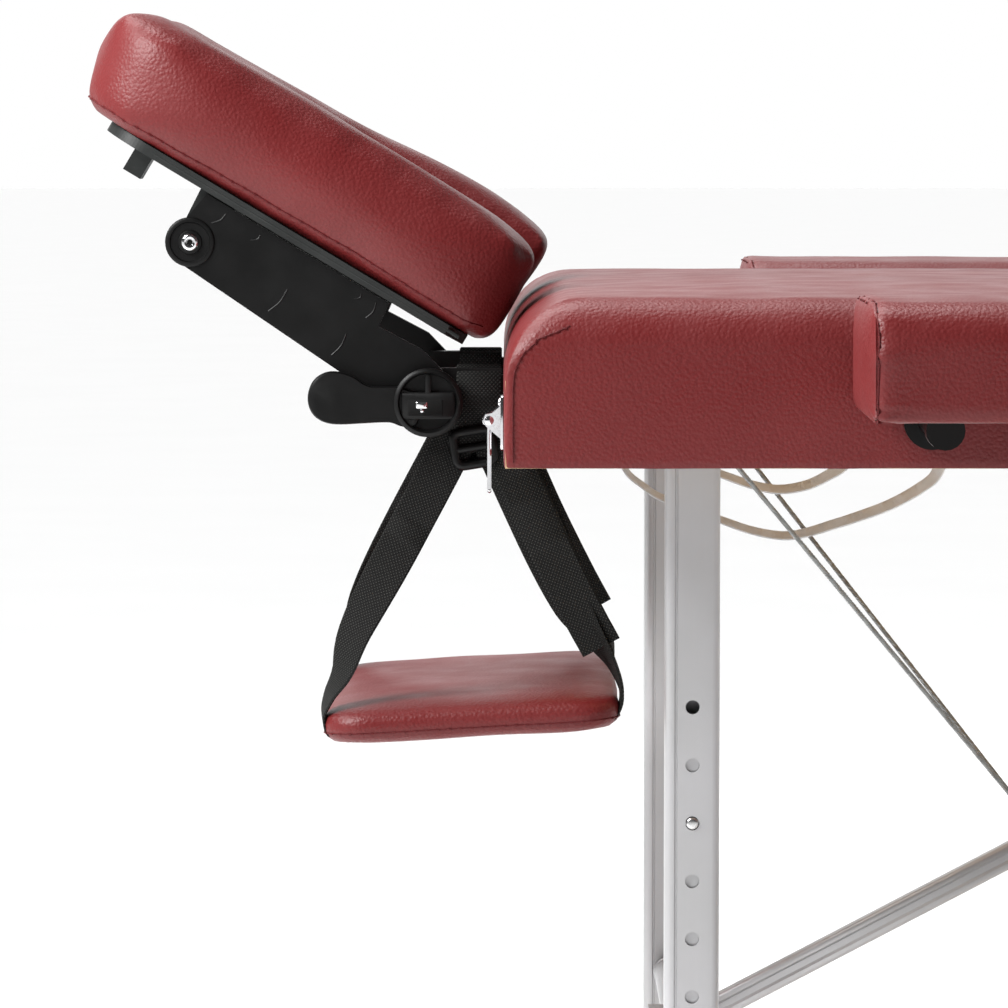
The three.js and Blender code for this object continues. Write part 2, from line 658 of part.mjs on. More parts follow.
for (const [word, side] of SIDES) {
  add(`latch_plate_${word}`, latchPlate(side), chrome);
  add(`latch_hook_${word}`, latchHook(side), chrome);
  add(`latch_catch_${word}`, toFootEnd(latchCatch(side)), chrome);
  add(`cradle_arm_${word}`, cradleArm(side), plastic);
  add(`sling_strap_${word}`, slingStrap(side), webbing);
  add(`sling_buckle_${word}`, slingBuckle(side), plastic);
  add(`armrest_pad_${word}`, armrestPad(side), leather);
  add(`armrest_frame_${word}`, armrestFrame(side), plastic);
  ARMREST_RODS.forEach((u, i) => {
    add(`armrest_socket_${word}_${i + 1}`, armrestSocket(u, side), plastic);
  });
}

add('cradle_base', cradleBase(), plastic);
add('cradle_axle', cradleAxle(), steel);
add('cradle_platform', cradlePlatform(), plastic);
add('cam_lever', camLever(), plastic);
add('sling_shelf', shelfPad(), leather);
const cushionWalls = [FACE_CUSHION_START, FACE_CUSHION_END, FACE_CUSHION_HALF_WIDTH];
add('face_cushion', horseshoe(...cushionWalls, 46, FACE_CUSHION_LEVELS), leather);

export default frame;
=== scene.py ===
# Visual model of a portable massage table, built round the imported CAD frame.
import json
import math

import bmesh
import bpy
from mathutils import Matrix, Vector, noise
from mathutils.bvhtree import BVHTree


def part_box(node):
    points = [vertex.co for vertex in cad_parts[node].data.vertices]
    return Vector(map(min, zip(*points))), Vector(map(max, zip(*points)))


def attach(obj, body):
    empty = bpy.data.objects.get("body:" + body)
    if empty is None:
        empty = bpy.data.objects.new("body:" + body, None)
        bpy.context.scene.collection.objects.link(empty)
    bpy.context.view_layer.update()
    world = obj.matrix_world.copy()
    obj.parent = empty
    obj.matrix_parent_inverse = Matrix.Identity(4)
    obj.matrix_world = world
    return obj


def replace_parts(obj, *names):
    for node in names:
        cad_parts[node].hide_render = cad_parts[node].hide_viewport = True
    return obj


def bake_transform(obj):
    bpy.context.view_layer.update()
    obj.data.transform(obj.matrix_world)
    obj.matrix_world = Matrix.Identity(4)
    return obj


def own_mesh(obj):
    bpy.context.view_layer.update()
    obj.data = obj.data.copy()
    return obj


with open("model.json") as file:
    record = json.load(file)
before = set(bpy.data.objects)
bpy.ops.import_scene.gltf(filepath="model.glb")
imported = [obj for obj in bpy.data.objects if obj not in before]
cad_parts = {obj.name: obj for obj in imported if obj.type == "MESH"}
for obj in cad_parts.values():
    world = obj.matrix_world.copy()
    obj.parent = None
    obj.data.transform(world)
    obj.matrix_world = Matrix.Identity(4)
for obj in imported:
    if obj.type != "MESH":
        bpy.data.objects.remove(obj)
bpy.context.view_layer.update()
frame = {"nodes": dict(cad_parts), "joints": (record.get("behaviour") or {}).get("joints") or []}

SIDES = (("near", -1), ("far", 1))
ENDS = ("head", "foot")

# ---- Places that everything else is worked out from ---------------------------------------------
JOINTS = {joint["name"]: joint for joint in frame["joints"]}


def joint_at(name):
    return Vector(JOINTS[name]["pos_m"])


def middle(node):
    low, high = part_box(node)
    return (low + high) / 2


HEAD_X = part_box("head_cushion")[0].x
FOOT_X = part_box("foot_cushion")[1].x
HUB = joint_at("cradle_arm_tilt")
TILT_PIVOT = joint_at("cradle_platform_tilt")
TOP_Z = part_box("head_cushion")[1].z
FRAME_LOW, FRAME_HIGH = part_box("head_frame")
HALF_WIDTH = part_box("head_cushion")[1].y
CRADLE_TILT = math.radians(31)

# ---- Camera -------------------------------------------------------------------------------------
CAMERA_DISTANCE = 3.0
CAMERA_HEIGHT = 0.795
CAMERA_PITCH = math.radians(4.37)
LENS = 176.8


def make_camera():
    camera = bpy.data.objects.new("camera", bpy.data.cameras.new("camera"))
    bpy.context.scene.collection.objects.link(camera)
    camera.data.sensor_width = 36.0
    camera.data.lens = LENS
    camera.location = (HEAD_X, -CAMERA_DISTANCE, CAMERA_HEIGHT)
    camera.rotation_euler = (math.radians(90) - CAMERA_PITCH, 0, 0)
    bpy.context.scene.camera = camera


make_camera()


# ---- Material helpers ---------------------------------------------------------------------------
class Paint:
    """A principled material with short calls for the nodes that the finishes share."""

    def __init__(self, name, color, roughness, metallic=0.0):
        self.material = bpy.data.materials.new(name)
        self.material.use_nodes = True
        self.tree = self.material.node_tree
        self.shader = self.tree.nodes["Principled BSDF"]
        self.set("Base Color", (*color, 1))
        self.set("Roughness", roughness)
        self.set("Metallic", metallic)
        self.coords = self.tree.nodes.new("ShaderNodeTexCoord")

    def set(self, socket, value):
        self.shader.inputs[socket].default_value = value

    def link(self, a, b):
        self.tree.links.new(a, b)

    def place(self, source="Object", scale=(1, 1, 1), turn=(0, 0, 0)):
        mapping = self.tree.nodes.new("ShaderNodeMapping")
        mapping.inputs["Scale"].default_value = scale
        mapping.inputs["Rotation"].default_value = turn
        self.link(self.coords.outputs[source], mapping.inputs["Vector"])
        return mapping.outputs["Vector"]

    def texture(self, kind, vector, **values):
        node = self.tree.nodes.new(kind)
        for socket, value in values.items():
            node.inputs[socket].default_value = value
        self.link(vector, node.inputs["Vector"])
        return node

    def noise(self, vector, scale, detail=4.0, rough=0.5):
        node = self.texture("ShaderNodeTexNoise", vector, Scale=scale, Detail=detail, Roughness=rough)
        return node.outputs["Fac"]

    def cells(self, vector, scale):
        return self.texture("ShaderNodeTexVoronoi", vector, Scale=scale).outputs["Distance"]

    def wave(self, vector, scale, axis="X"):
        node = self.texture("ShaderNodeTexWave", vector, Scale=scale)
        node.bands_direction = axis
        return node.outputs["Fac"]

    def math(self, operation, a, b=None):
        node = self.tree.nodes.new("ShaderNodeMath")
        node.operation = operation
        for socket, value in zip(node.inputs, (a, b)):
            if value is None:
                continue
            if isinstance(value, (int, float)):
                socket.default_value = value
            else:
                self.link(value, socket)
        return node.outputs[0]

    def ramp(self, fac, stops):
        node = self.tree.nodes.new("ShaderNodeValToRGB")
        elements = node.color_ramp.elements
        while len(elements) < len(stops):
            elements.new(0.5)
        for element, (position, value) in zip(elements, stops):
            element.position = position
            element.color = (*value, 1) if isinstance(value, tuple) else (value, value, value, 1)
        self.link(fac, node.inputs["Fac"])
        return node.outputs["Color"]

    def color(self, source):
        self.link(source, self.shader.inputs["Base Color"])

    def roughness(self, source):
        self.link(source, self.shader.inputs["Roughness"])

    def bump(self, height, strength, distance):
        node = self.tree.nodes.new("ShaderNodeBump")
        node.inputs["Strength"].default_value = strength
        node.inputs["Distance"].default_value = distance
        self.link(height, node.inputs["Height"])
        self.link(node.outputs["Normal"], self.shader.inputs["Normal"])


def leather_paint(name, dark, light):
    paint = Paint(name, light, 0.42)
    vector = paint.place()
    cloud = paint.noise(vector, 9, 3)
    cells = paint.cells(vector, 470)
    pebble = paint.ramp(cells, ((0.1, 1.0), (0.75, 0.0)))
    fine = paint.noise(vector, 900, 2)
    height = paint.math("ADD", paint.math("MULTIPLY", pebble, 0.7), paint.math("MULTIPLY", fine, 0.6))
    paint.bump(height, 0.5, 0.0005)
    shade = paint.math("ADD", paint.math("MULTIPLY", cloud, 0.85), paint.math("MULTIPLY", pebble, 0.12))
    paint.color(paint.ramp(shade, ((0.2, dark), (0.8, light))))
    paint.roughness(paint.ramp(paint.noise(vector, 30, 3), ((0.3, 0.4), (0.75, 0.54))))
    paint.set("Specular IOR Level", 0.34)
    return paint.material


def plastic_paint(name, tone, roughness):
    paint = Paint(name, tone, roughness)
    vector = paint.place()
    paint.bump(paint.noise(vector, 2600, 3, 0.6), 0.25, 0.00012)
    low = tuple(value * 0.72 for value in tone)
    high = tuple(value * 1.5 for value in tone)
    paint.color(paint.ramp(paint.noise(vector, 14, 4), ((0.3, low), (0.75, high))))
    wear = paint.noise(vector, 60, 3)
    paint.roughness(paint.ramp(wear, ((0.3, roughness - 0.07), (0.7, roughness + 0.09))))
    paint.set("Specular IOR Level", 0.2)
    return paint.material


def aluminium_paint():
    paint = Paint("anodised_aluminium", (0.47, 0.468, 0.478), 0.36, 0.6)
    along = paint.place(scale=(900, 900, 6))
    streaks = paint.noise(along, 1.0, 5, 0.65)
    cloud = paint.noise(paint.place(), 11, 3)
    paint.bump(streaks, 0.08, 0.00008)
    paint.color(paint.ramp(cloud, ((0.25, (0.44, 0.44, 0.444)), (0.8, (0.50, 0.496, 0.512)))))
    paint.roughness(paint.ramp(streaks, ((0.3, 0.3), (0.7, 0.43))))
    return paint.material


def metal_paint(name, tone, roughness, scratch):
    paint = Paint(name, tone, roughness, 1.0)
    vector = paint.place()
    marks = paint.noise(vector, 700, 4, 0.7)
    paint.bump(marks, scratch, 0.00005)
    low = tuple(value * 0.85 for value in tone)
    paint.color(paint.ramp(paint.noise(vector, 60, 3), ((0.3, low), (0.7, tone))))
    paint.roughness(paint.ramp(marks, ((0.3, max(roughness - 0.05, 0.03)), (0.7, roughness + 0.08))))
    return paint.material


def webbing_paint():
    paint = Paint("webbing", (0.02, 0.02, 0.02), 0.78)
    vector = paint.place("UV")
    across = paint.wave(paint.place("UV", turn=(0, 0, math.radians(45))), 185, "X")
    back = paint.wave(paint.place("UV", turn=(0, 0, math.radians(-45))), 185, "X")
    knots = paint.math("MULTIPLY", across, back)
    fibre = paint.noise(vector, 2500, 2)
    paint.bump(paint.math("ADD", knots, paint.math("MULTIPLY", fibre, 0.3)), 0.7, 0.0006)
    paint.color(paint.ramp(knots, ((0.5, (0.003, 0.003, 0.0028)), (1.0, (0.055, 0.055, 0.05)))))
    paint.set("Specular IOR Level", 0.2)
    return paint.material


def elastic_paint():
    paint = Paint("elastic_tape", (0.72, 0.71, 0.71), 0.85)
    vector = paint.place("UV")
    ribs = paint.wave(paint.place("UV"), 250, "X")
    knit = paint.wave(paint.place("UV"), 420, "Y")
    paint.bump(paint.math("ADD", ribs, paint.math("MULTIPLY", knit, 0.5)), 0.5, 0.0003)
    tone = paint.noise(vector, 90, 3)
    paint.color(paint.ramp(tone, ((0.3, (0.60, 0.63, 0.66)), (0.75, (0.72, 0.74, 0.77)))))
    paint.set("Sheen Weight", 0.3)
    return paint.material


def wood_paint():
    paint = Paint("birch", (0.55, 0.37, 0.2), 0.5)
    long_grain = paint.place(scale=(3, 60, 60))
    grain = paint.noise(long_grain, 3.0, 6, 0.65)
    pores = paint.noise(paint.place(scale=(30, 900, 900)), 1.0, 3)
    paint.color(paint.ramp(grain, ((0.3, (0.40, 0.25, 0.125)), (0.7, (0.63, 0.44, 0.26)))))
    paint.bump(paint.math("ADD", grain, pores), 0.25, 0.0003)
    paint.roughness(paint.ramp(grain, ((0.3, 0.4), (0.7, 0.58))))
    return paint.material


def thread_paint():
    paint = Paint("stitch_thread", (0.05, 0.008, 0.01), 0.6)
    twist = paint.wave(paint.place(scale=(1, 1, 1)), 900, "DIAGONAL")
    paint.bump(twist, 0.5, 0.0002)
    paint.color(paint.ramp(twist, ((0.2, (0.05, 0.006, 0.007)), (0.8, (0.15, 0.016, 0.018)))))
    paint.set("Specular IOR Level", 0.2)
    return paint.material


LEATHER = leather_paint("red_leather", (0.118, 0.0098, 0.0104), (0.152, 0.0152, 0.0158))
PLASTIC = plastic_paint("black_nylon", (0.003, 0.003, 0.003), 0.4)
GREY_PLASTIC = plastic_paint("grey_nylon", (0.02, 0.0215, 0.021), 0.4)
RUBBER = plastic_paint("rubber", (0.016, 0.016, 0.016), 0.72)
ALUMINIUM = aluminium_paint()
STEEL = metal_paint("zinc_steel", (0.62, 0.62, 0.62), 0.28, 0.12)
CHROME = metal_paint("chrome_plate", (0.85, 0.85, 0.87), 0.08, 0.04)
ROPE = metal_paint("rope_wire", (0.34, 0.35, 0.35), 0.5, 0.3)
WEBBING = webbing_paint()
ELASTIC = elastic_paint()
WOOD = wood_paint()
THREAD = thread_paint()
# painted shade: a near-black matte finish laid into slots and bores to stand in for the shade inside them
HOLE_SHADE = plastic_paint("hole_shadow", (0.004, 0.004, 0.004), 0.9)


# ---- Mesh helpers -------------------------------------------------------------------------------
def face_outwards(mesh, weld=False):
    """Turns every face outwards, after merging the points that coincide if asked to."""
    bm = bmesh.new()
    bm.from_mesh(mesh)
    if weld:
        bmesh.ops.remove_doubles(bm, verts=bm.verts, dist=1e-6)
    bmesh.ops.recalc_face_normals(bm, faces=bm.faces)
    bm.to_mesh(mesh)
    bm.free()


class Build:
    """Collects vertices, faces and strip coordinates, then makes one smooth-shaded piece."""

    def __init__(self):
        self.verts = []
        self.faces = []
        self.uv = {}

    def loft(self, rings, closed=True, caps=True, uv=None):
        """Joins rings of equal count with quads; uv holds (u per ring point, v per ring)."""
        start = len(self.verts)
        count = len(rings[0])
        for ring in rings:
            self.verts.extend(Vector(p) for p in ring)
        for i in range(len(rings) - 1):
            for j in range(count if closed else count - 1):
                k = (j + 1) % count
                a = start + i * count
                b = a + count
                self.faces.append((a + j, a + k, b + k, b + j))
                if uv:
                    u0, u1 = uv[0][j : j + 2]
                    v0, v1 = uv[1][i : i + 2]
                    self.uv[len(self.faces) - 1] = ((u0, v0), (u1, v0), (u1, v1), (u0, v1))
        if caps:
            last = start + (len(rings) - 1) * count
            self.faces.append(tuple(start + j for j in reversed(range(count))))
            self.faces.append(tuple(last + j for j in range(count)))

    def plain(self, name):
        """An object that holds the collected mesh, with no finish and no body."""
        mesh = bpy.data.meshes.new(name)
        mesh.from_pydata([tuple(v) for v in self.verts], [], self.faces)
        piece = bpy.data.objects.new(name, mesh)
        bpy.context.scene.collection.objects.link(piece)
        return piece

    def make(self, name, material, body, smooth=45.0):
        piece = self.plain(name)
        mesh = piece.data
        if self.uv:
            layer = mesh.uv_layers.new(name="strip")
            for index, corners in self.uv.items():
                for loop, value in zip(mesh.polygons[index].loop_indices, corners):
                    layer.data[loop].uv = value
        face_outwards(mesh)
        return dress(piece, material, body, smooth)


def dress(piece, material, body, smooth=45.0):
    """Gives a piece its finish and its body."""
    piece.data.materials.clear()
    piece.data.materials.append(material)
    if smooth is not None:
        piece.data.shade_smooth()
        piece.data.set_sharp_from_angle(angle=math.radians(smooth))
    if body:
        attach(piece, body)
    return piece


def apply_modifiers(piece):
    bpy.context.view_layer.update()
    graph = bpy.context.evaluated_depsgraph_get()
    mesh = bpy.data.meshes.new_from_object(piece.evaluated_get(graph))
    piece.modifiers.clear()
    piece.data = mesh


def circle(centre, across, up, radius, count):
    angles = [2 * math.pi * i / count for i in range(count)]
    return [centre + across * (radius * math.cos(a)) + up * (radius * math.sin(a)) for a in angles]


def spline(points, steps):
    """A Catmull-Rom curve through the points, with that many steps between each pair."""
    points = [Vector(p) for p in points]
    ends = [points[0] * 2 - points[1]] + points + [points[-1] * 2 - points[-2]]
    out = []
    for i in range(1, len(ends) - 2):
        a, b, c, d = ends[i - 1 : i + 3]
        for k in range(steps):
            t = k / steps
            square = (a * 2 - b * 5 + c * 4 - d) * t ** 2
            cube = (b * 3 - a - c * 3 + d) * t ** 3
            out.append(0.5 * (b * 2 + (c - a) * t + square + cube))
    out.append(points[-1])
    return out


def tangent_at(path, i):
    return (path[min(i + 1, len(path) - 1)] - path[max(i - 1, 0)]).normalized()


def frames_along(path):
    """Unit side and up for each point, carried along without twist."""
    out = []
    up = None
    for i in range(len(path)):
        tangent = tangent_at(path, i)
        if up is None:
            up = Vector((0, 0, 1)) if abs(tangent.z) < 0.9 else Vector((1, 0, 0))
        up = (up - tangent * up.dot(tangent)).normalized()
        out.append((tangent.cross(up), up))
    return out


def add_tube(build, path, radius, count=10):
    frames = frames_along(path)
    build.loft([circle(point, side, up, radius, count) for point, (side, up) in zip(path, frames)])


def add_turned(build, centre, axis, profile, count=32):
    """A turned shape: profile is (distance along the axis, radius) pairs."""
    axis = Vector(axis).normalized()
    guess = Vector((0, 0, 1)) if abs(axis.z) < 0.9 else Vector((1, 0, 0))
    side = axis.cross(guess).normalized()
    up = axis.cross(side)
    centre = Vector(centre)
    rings = []
    for along, radius in profile:
        rings.append(circle(centre + axis * along, side, up, max(radius, 1e-5), count))
    build.loft(rings)


def add_ribbon(build, path, sides, width, thickness):
    """A flat strap along a path; sides gives the direction across the strap at each point."""
    half = width / 2
    edge = thickness * 0.5
    flat = half - edge
    outline = ((-half, 0), (-flat, edge), (flat, edge), (half, 0), (flat, -edge), (-flat, -edge))
    rings = []
    run = [0.0]
    for i, (point, side) in enumerate(zip(path, sides)):
        tangent = tangent_at(path, i)
        side = (side - tangent * side.dot(tangent)).normalized()
        face = tangent.cross(side)
        rings.append([point + side * a + face * b for a, b in outline])
        if i:
            run.append(run[-1] + (path[i] - path[i - 1]).length)
    across = (0, 0.0005, width, width + 0.0005, width + 0.001, 2 * width, 2 * width)
    build.loft(rings, uv=(across, run))


def rounded_outline(half_x, half_y, radius, per_corner=6):
    """A rounded rectangle as (x, y) pairs, anticlockwise."""
    points = []
    corners = ((1, 1, 0), (-1, 1, 90), (-1, -1, 180), (1, -1, 270))
    for sx, sy, start in corners:
        for i in range(per_corner + 1):
            angle = math.radians(start + 90 * i / per_corner)
            x = sx * (half_x - radius) + radius * math.cos(angle)
            y = sy * (half_y - radius) + radius * math.sin(angle)
            points.append((x, y))
    return points


STITCH_PITCH = 0.0042
STITCH_LENGTH = 0.0026
STITCH_RADIUS = 0.0005
WELT_RADIUS = 0.00045
SEAM_PROUD = 0.0002


def add_stitches(build, path, normals):
    """Short raised threads lying along a path."""
    run = 0.0
    gone = 0.0
    for i in range(1, len(path)):
        run += (path[i] - path[i - 1]).length
        if run - gone < STITCH_PITCH:
            continue
        gone = run
        reach = (path[i] - path[i - 1]).normalized() * STITCH_LENGTH / 2
        foot = path[i] + normals[i] * STITCH_RADIUS * 0.2
        bump = path[i] + normals[i] * STITCH_RADIUS * 0.9
        add_tube(build, spline((foot - reach, bump, foot + reach), 2), STITCH_RADIUS, 5)


def surface_of(piece):
    bpy.context.view_layer.update()
    return BVHTree.FromObject(piece, bpy.context.evaluated_depsgraph_get())


def laid_on(tree, path):
    """The path moved onto a surface, with the surface normals."""
    points = []
    normals = []
    for point in path:
        where, normal, _, _ = tree.find_nearest(point)
        points.append(where + normal * SEAM_PROUD)
        normals.append(normal)
    return points, normals


def sew(name, piece, paths, body):
    """A seam: a fine welt laid on the piece with stitches along it."""
    tree = surface_of(piece)
    build = Build()
    for path in paths:
        points, normals = laid_on(tree, path)
        add_tube(build, points, WELT_RADIUS, 6)
        add_stitches(build, points, normals)
    build.make(name, THREAD, body)


# ---- Table cushions -----------------------------------------------------------------------------
def plan_outline(half_x, half_y, radius, along_x, along_y):
    """A rounded rectangle with its long sides divided, as (x, y) pairs."""
    corners = rounded_outline(half_x, half_y, radius, 5)
    points = []
    for k in range(4):
        points.extend(corners[6 * k : 6 * k + 6])
        start = Vector(corners[6 * k + 5])
        end = Vector(corners[(6 * k + 6) % 24])
        steps = along_x if k % 2 == 0 else along_y
        points.extend(tuple(start.lerp(end, i / steps)) for i in range(1, steps))
    return points


def round_drop(distance, radius):
    """How far a quarter-round edge has dropped at that distance in from its face."""
    reach = max(radius - distance, 0.0)
    return radius - math.sqrt(radius ** 2 - reach ** 2)


END_ROUND = 0.044
SIDE_ROUND = 0.026
HINGE_ROUND = 0.009
COVER_CORNER = 0.0035
COVER_LINING = 0.0008
CROWN = 0.004
CROWN_REACH = 0.15
WALL_SHARES = (0.0, 0.06, 0.2, 0.4, 0.6, 0.8, 0.95, 1.0)
TOP_INSETS = (0.0003, 0.001, 0.0022, 0.004, 0.0065, 0.0095, 0.013, 0.0175, 0.023, 0.029, 0.036, 0.045,
              0.06, 0.09, 0.14, 0.2, 0.26, 0.296)
# the end seam: how far in from the end, and how far above the frame's underside
END_SEAM = ((0.005, 0.003), (0.0048, 0.024), (0.005, 0.048), (0.0075, 0.058), (0.013, 0.067),
            (0.021, 0.0735), (0.030, 0.0775), (0.036, 0.0815))


def cushion_rings(end):
    """Rings of an upholstered half, from under its skirt to the middle of its crowned top."""
    low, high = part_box(f"{end}_cushion")
    outer_x = low.x if end == "head" else high.x
    mid_x = (low.x + high.x) / 2
    half_x = (high.x - low.x) / 2
    bottom = FRAME_LOW.z + 0.0002

    def top_z(x, y):
        from_end = abs(x - outer_x)
        from_hinge = 2 * half_x - from_end
        from_side = HALF_WIDTH - abs(y)
        end_drop = round_drop(min(from_end, END_ROUND), END_ROUND)
        hinge_drop = round_drop(min(from_hinge, HINGE_ROUND), HINGE_ROUND)
        side_drop = round_drop(min(from_side, SIDE_ROUND), SIDE_ROUND)
        drop = math.sqrt(end_drop ** 2 + side_drop ** 2 + hinge_drop ** 2)
        crown = CROWN * min(from_end, from_hinge, from_side, CROWN_REACH) / CROWN_REACH
        return TOP_Z - drop + crown

    def outline(inset):
        radius = min(COVER_CORNER + inset * 0.4, HALF_WIDTH - inset - 0.0005)
        pairs = plan_outline(half_x - inset, HALF_WIDTH - inset, radius, 70, 44)
        return [(mid_x + x, y) for x, y in pairs]

    wall = outline(0.0)
    lining = outline(COVER_LINING)
    rings = [[(x, y, z) for x, y in lining] for z in (FRAME_HIGH.z + 0.0003, bottom + 0.0006)]
    rings.append([(x, y, bottom) for x, y in outline(COVER_LINING / 2)])
    for share in WALL_SHARES:
        bulge = 0.0010 * math.sin(math.pi * share)
        ring = []
        for x, y in wall:
            z = bottom + 0.0008 + (top_z(x, y) - bottom - 0.0008) * share
            ring.append((x, y + math.copysign(bulge, y), z))
        rings.append(ring)
    return rings + [[(x, y, top_z(x, y)) for x, y in outline(inset)] for inset in TOP_INSETS]


def ripple(piece, size, depth, seed):
    """Gentle hand-sewn unevenness along the normals."""
    shift = Vector((seed, seed * 0.7, seed * 1.3))
    normals = [v.normal.copy() for v in piece.data.vertices]
    for vertex, normal in zip(piece.data.vertices, normals):
        vertex.co += normal * noise.noise(vertex.co / size + shift) * depth


def table_cushion(end):
    build = Build()
    build.loft(cushion_rings(end))
    piece = build.make(f"{end}_upholstery", LEATHER, None, 60)
    ripple(piece, 0.04, 0.0007, 3.1 if end == "head" else 8.4)
    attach(piece, f"{end}_half")
    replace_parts(piece, f"{end}_cushion")
    sign = 1 if end == "head" else -1
    outer = HEAD_X if end == "head" else FOOT_X
    paths = []
    for _, side in SIDES:
        y = side * (HALF_WIDTH + 0.004)
        paths.append(spline([(outer + sign * dx, y, FRAME_LOW.z + dz) for dx, dz in END_SEAM], 14))
    sew(f"{end}_end_seam", piece, paths, f"{end}_half")


# ---- Puffed cushions ----------------------------------------------------------------------------
PAD_GROWTH = 0.0018
PAD_VOXEL = 0.0055
PAD_CAP = 0.006


def smooth_out(piece, steps):
    relax = piece.modifiers.new("relax", "SMOOTH")
    relax.factor = 0.5
    relax.iterations = steps
    apply_modifiers(piece)


def puffed(name, node, body):
    """A soft copy of a CAD solid: remeshed, relaxed, then blown up a little as cloth."""
    low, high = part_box(node)
    centre = (low + high) / 2
    piece = bpy.data.objects.new(name, frame["nodes"][node].data.copy())
    bpy.context.scene.collection.objects.link(piece)
    for vertex in piece.data.vertices:
        for k in range(3):
            half = (high[k] - low[k]) / 2
            vertex.co[k] = centre[k] + (vertex.co[k] - centre[k]) * (half + PAD_GROWTH) / half
    remesh = piece.modifiers.new("remesh", "REMESH")
    remesh.mode = "VOXEL"
    remesh.voxel_size = PAD_VOXEL
    smooth_out(piece, 12)
    blow_up(piece)
    smooth_out(piece, 14)
    ripple(piece, 0.055, 0.0009, len(name) * 1.7)
    divide = piece.modifiers.new("divide", "SUBSURF")
    divide.levels = 1
    divide.render_levels = 1
    apply_modifiers(piece)
    dress(piece, LEATHER, body, None)
    piece.data.shade_smooth()
    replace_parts(piece, node)
    return piece


def blow_up(piece):
    """Runs a short pressure cloth simulation and keeps every point within PAD_CAP of its start."""
    start = [v.co.copy() for v in piece.data.vertices]
    cloth = piece.modifiers.new("cloth", "CLOTH")
    cloth.settings.use_pressure = True
    cloth.settings.uniform_pressure_force = 3.0
    cloth.settings.effector_weights.gravity = 0.0
    scene = bpy.context.scene
    for number in range(1, 15):
        scene.frame_set(number)
    apply_modifiers(piece)
    scene.frame_set(1)
    for vertex, origin in zip(piece.data.vertices, start):
        move = vertex.co - origin
        if move.length > PAD_CAP:
            vertex.co = origin + move.normalized() * PAD_CAP


PLATE_FOOT = HUB + Vector((0.0196, 0, 0.033))
PLATE_UP = Vector((math.sin(CRADLE_TILT), 0, math.cos(CRADLE_TILT)))
PLATE_FORWARD = Vector((-math.cos(CRADLE_TILT), 0, math.sin(CRADLE_TILT)))
PAD_SEAT = 0.0064
# the seam round the pad's foot: its ends and bend along the plate, height, half width and corner
SEAM_START = -0.016
SEAM_BEND = 0.217
SEAM_LEVEL = 0.011
SEAM_HALF = 0.136
SEAM_CORNER = 0.045
THROAT_CENTRE = 0.102
THROAT_RADIUS = 0.048
THROAT_LEVEL = 0.060


def on_plate(along, above, y):
    """A point given along the tilted cradle plate, above it and across it."""
    point = PLATE_FOOT + PLATE_FORWARD * along + PLATE_UP * above
    return Vector((point.x, y, point.z))


def smooth_step(low, high, value):
    share = min(max((value - low) / (high - low), 0.0), 1.0)
    return share * share * (3 - 2 * share)


def settle_lobes(piece):
    """Squares the pad's closed end and lifts its far lobe clear of the near one."""
    for vertex in piece.data.vertices:
        offset = vertex.co - PLATE_FOOT
        along = offset.dot(PLATE_FORWARD)
        height = smooth_step(0.0, 0.075, offset.dot(PLATE_UP))
        end = smooth_step(0.12, 0.26, along)
        lobe = smooth_step(0.012, 0.05, vertex.co.y) * (1 - smooth_step(0.03, 0.15, along))
        vertex.co += PLATE_FORWARD * (end * (0.005 + 0.007 * height) - lobe * 0.006 * height)
        vertex.co += PLATE_UP * (height * (0.008 * lobe - 0.003 * end))


def seat_on_plate(piece):
    """Flattens whatever of the pad hangs below the top of the cradle plate."""
    for vertex in piece.data.vertices:
        above = (vertex.co - PLATE_FOOT).dot(PLATE_UP)
        if above < PAD_SEAT:
            vertex.co += PLATE_UP * (PAD_SEAT - above)


def face_cushion():
    """The horseshoe pad, with a seam round its foot and one round its throat."""
    piece = puffed("face_pad", "face_cushion", "cradle_platform")
    settle_lobes(piece)
    seat_on_plate(piece)
    lines = []
    for _, side in SIDES:
        straight = [SEAM_START + (SEAM_BEND - SEAM_START) * i / 30 for i in range(31)]
        line = [on_plate(along, SEAM_LEVEL, side * SEAM_HALF) for along in straight]
        for i in range(1, 9):
            angle = math.radians(90 * i / 8)
            y = side * (SEAM_HALF - SEAM_CORNER * (1 - math.cos(angle)))
            line.append(on_plate(SEAM_BEND + SEAM_CORNER * math.sin(angle), SEAM_LEVEL, y))
        lines.append(line)
    near = lines[0]
    far = lines[1][::-1]
    across = [near[-1].lerp(far[0], i / 24) for i in range(1, 24)]
    sew("face_pad_seams", piece, [near + across + far], "cradle_platform")
    rim = []
    for i in range(41):
        angle = math.radians(-90 + 180 * i / 40)
        along = THROAT_CENTRE + THROAT_RADIUS * math.cos(angle)
        rim.append(on_plate(along, THROAT_LEVEL, THROAT_RADIUS * math.sin(angle)))
    points, _ = laid_on(surface_of(piece), rim)
    throat = Build()
    add_tube(throat, points, 0.0006, 6)
    throat.make("face_pad_throat_seam", THREAD, "cradle_platform")


ARM_ROUND = 0.021
ARM_SAG = 0.0035
ARM_STEPS = 40
# each end panel of an armrest: distance in from the CAD end, and share of the full section
END_PANEL = ((-0.005, 0.04), (-0.0046, 0.3), (-0.0036, 0.58), (-0.002, 0.82), (-0.0005, 0.94),
             (0.0006, 0.975), (0.0016, 0.968), (0.0028, 0.985), (0.006, 1.0), (0.012, 1.0), (0.025, 1.0))


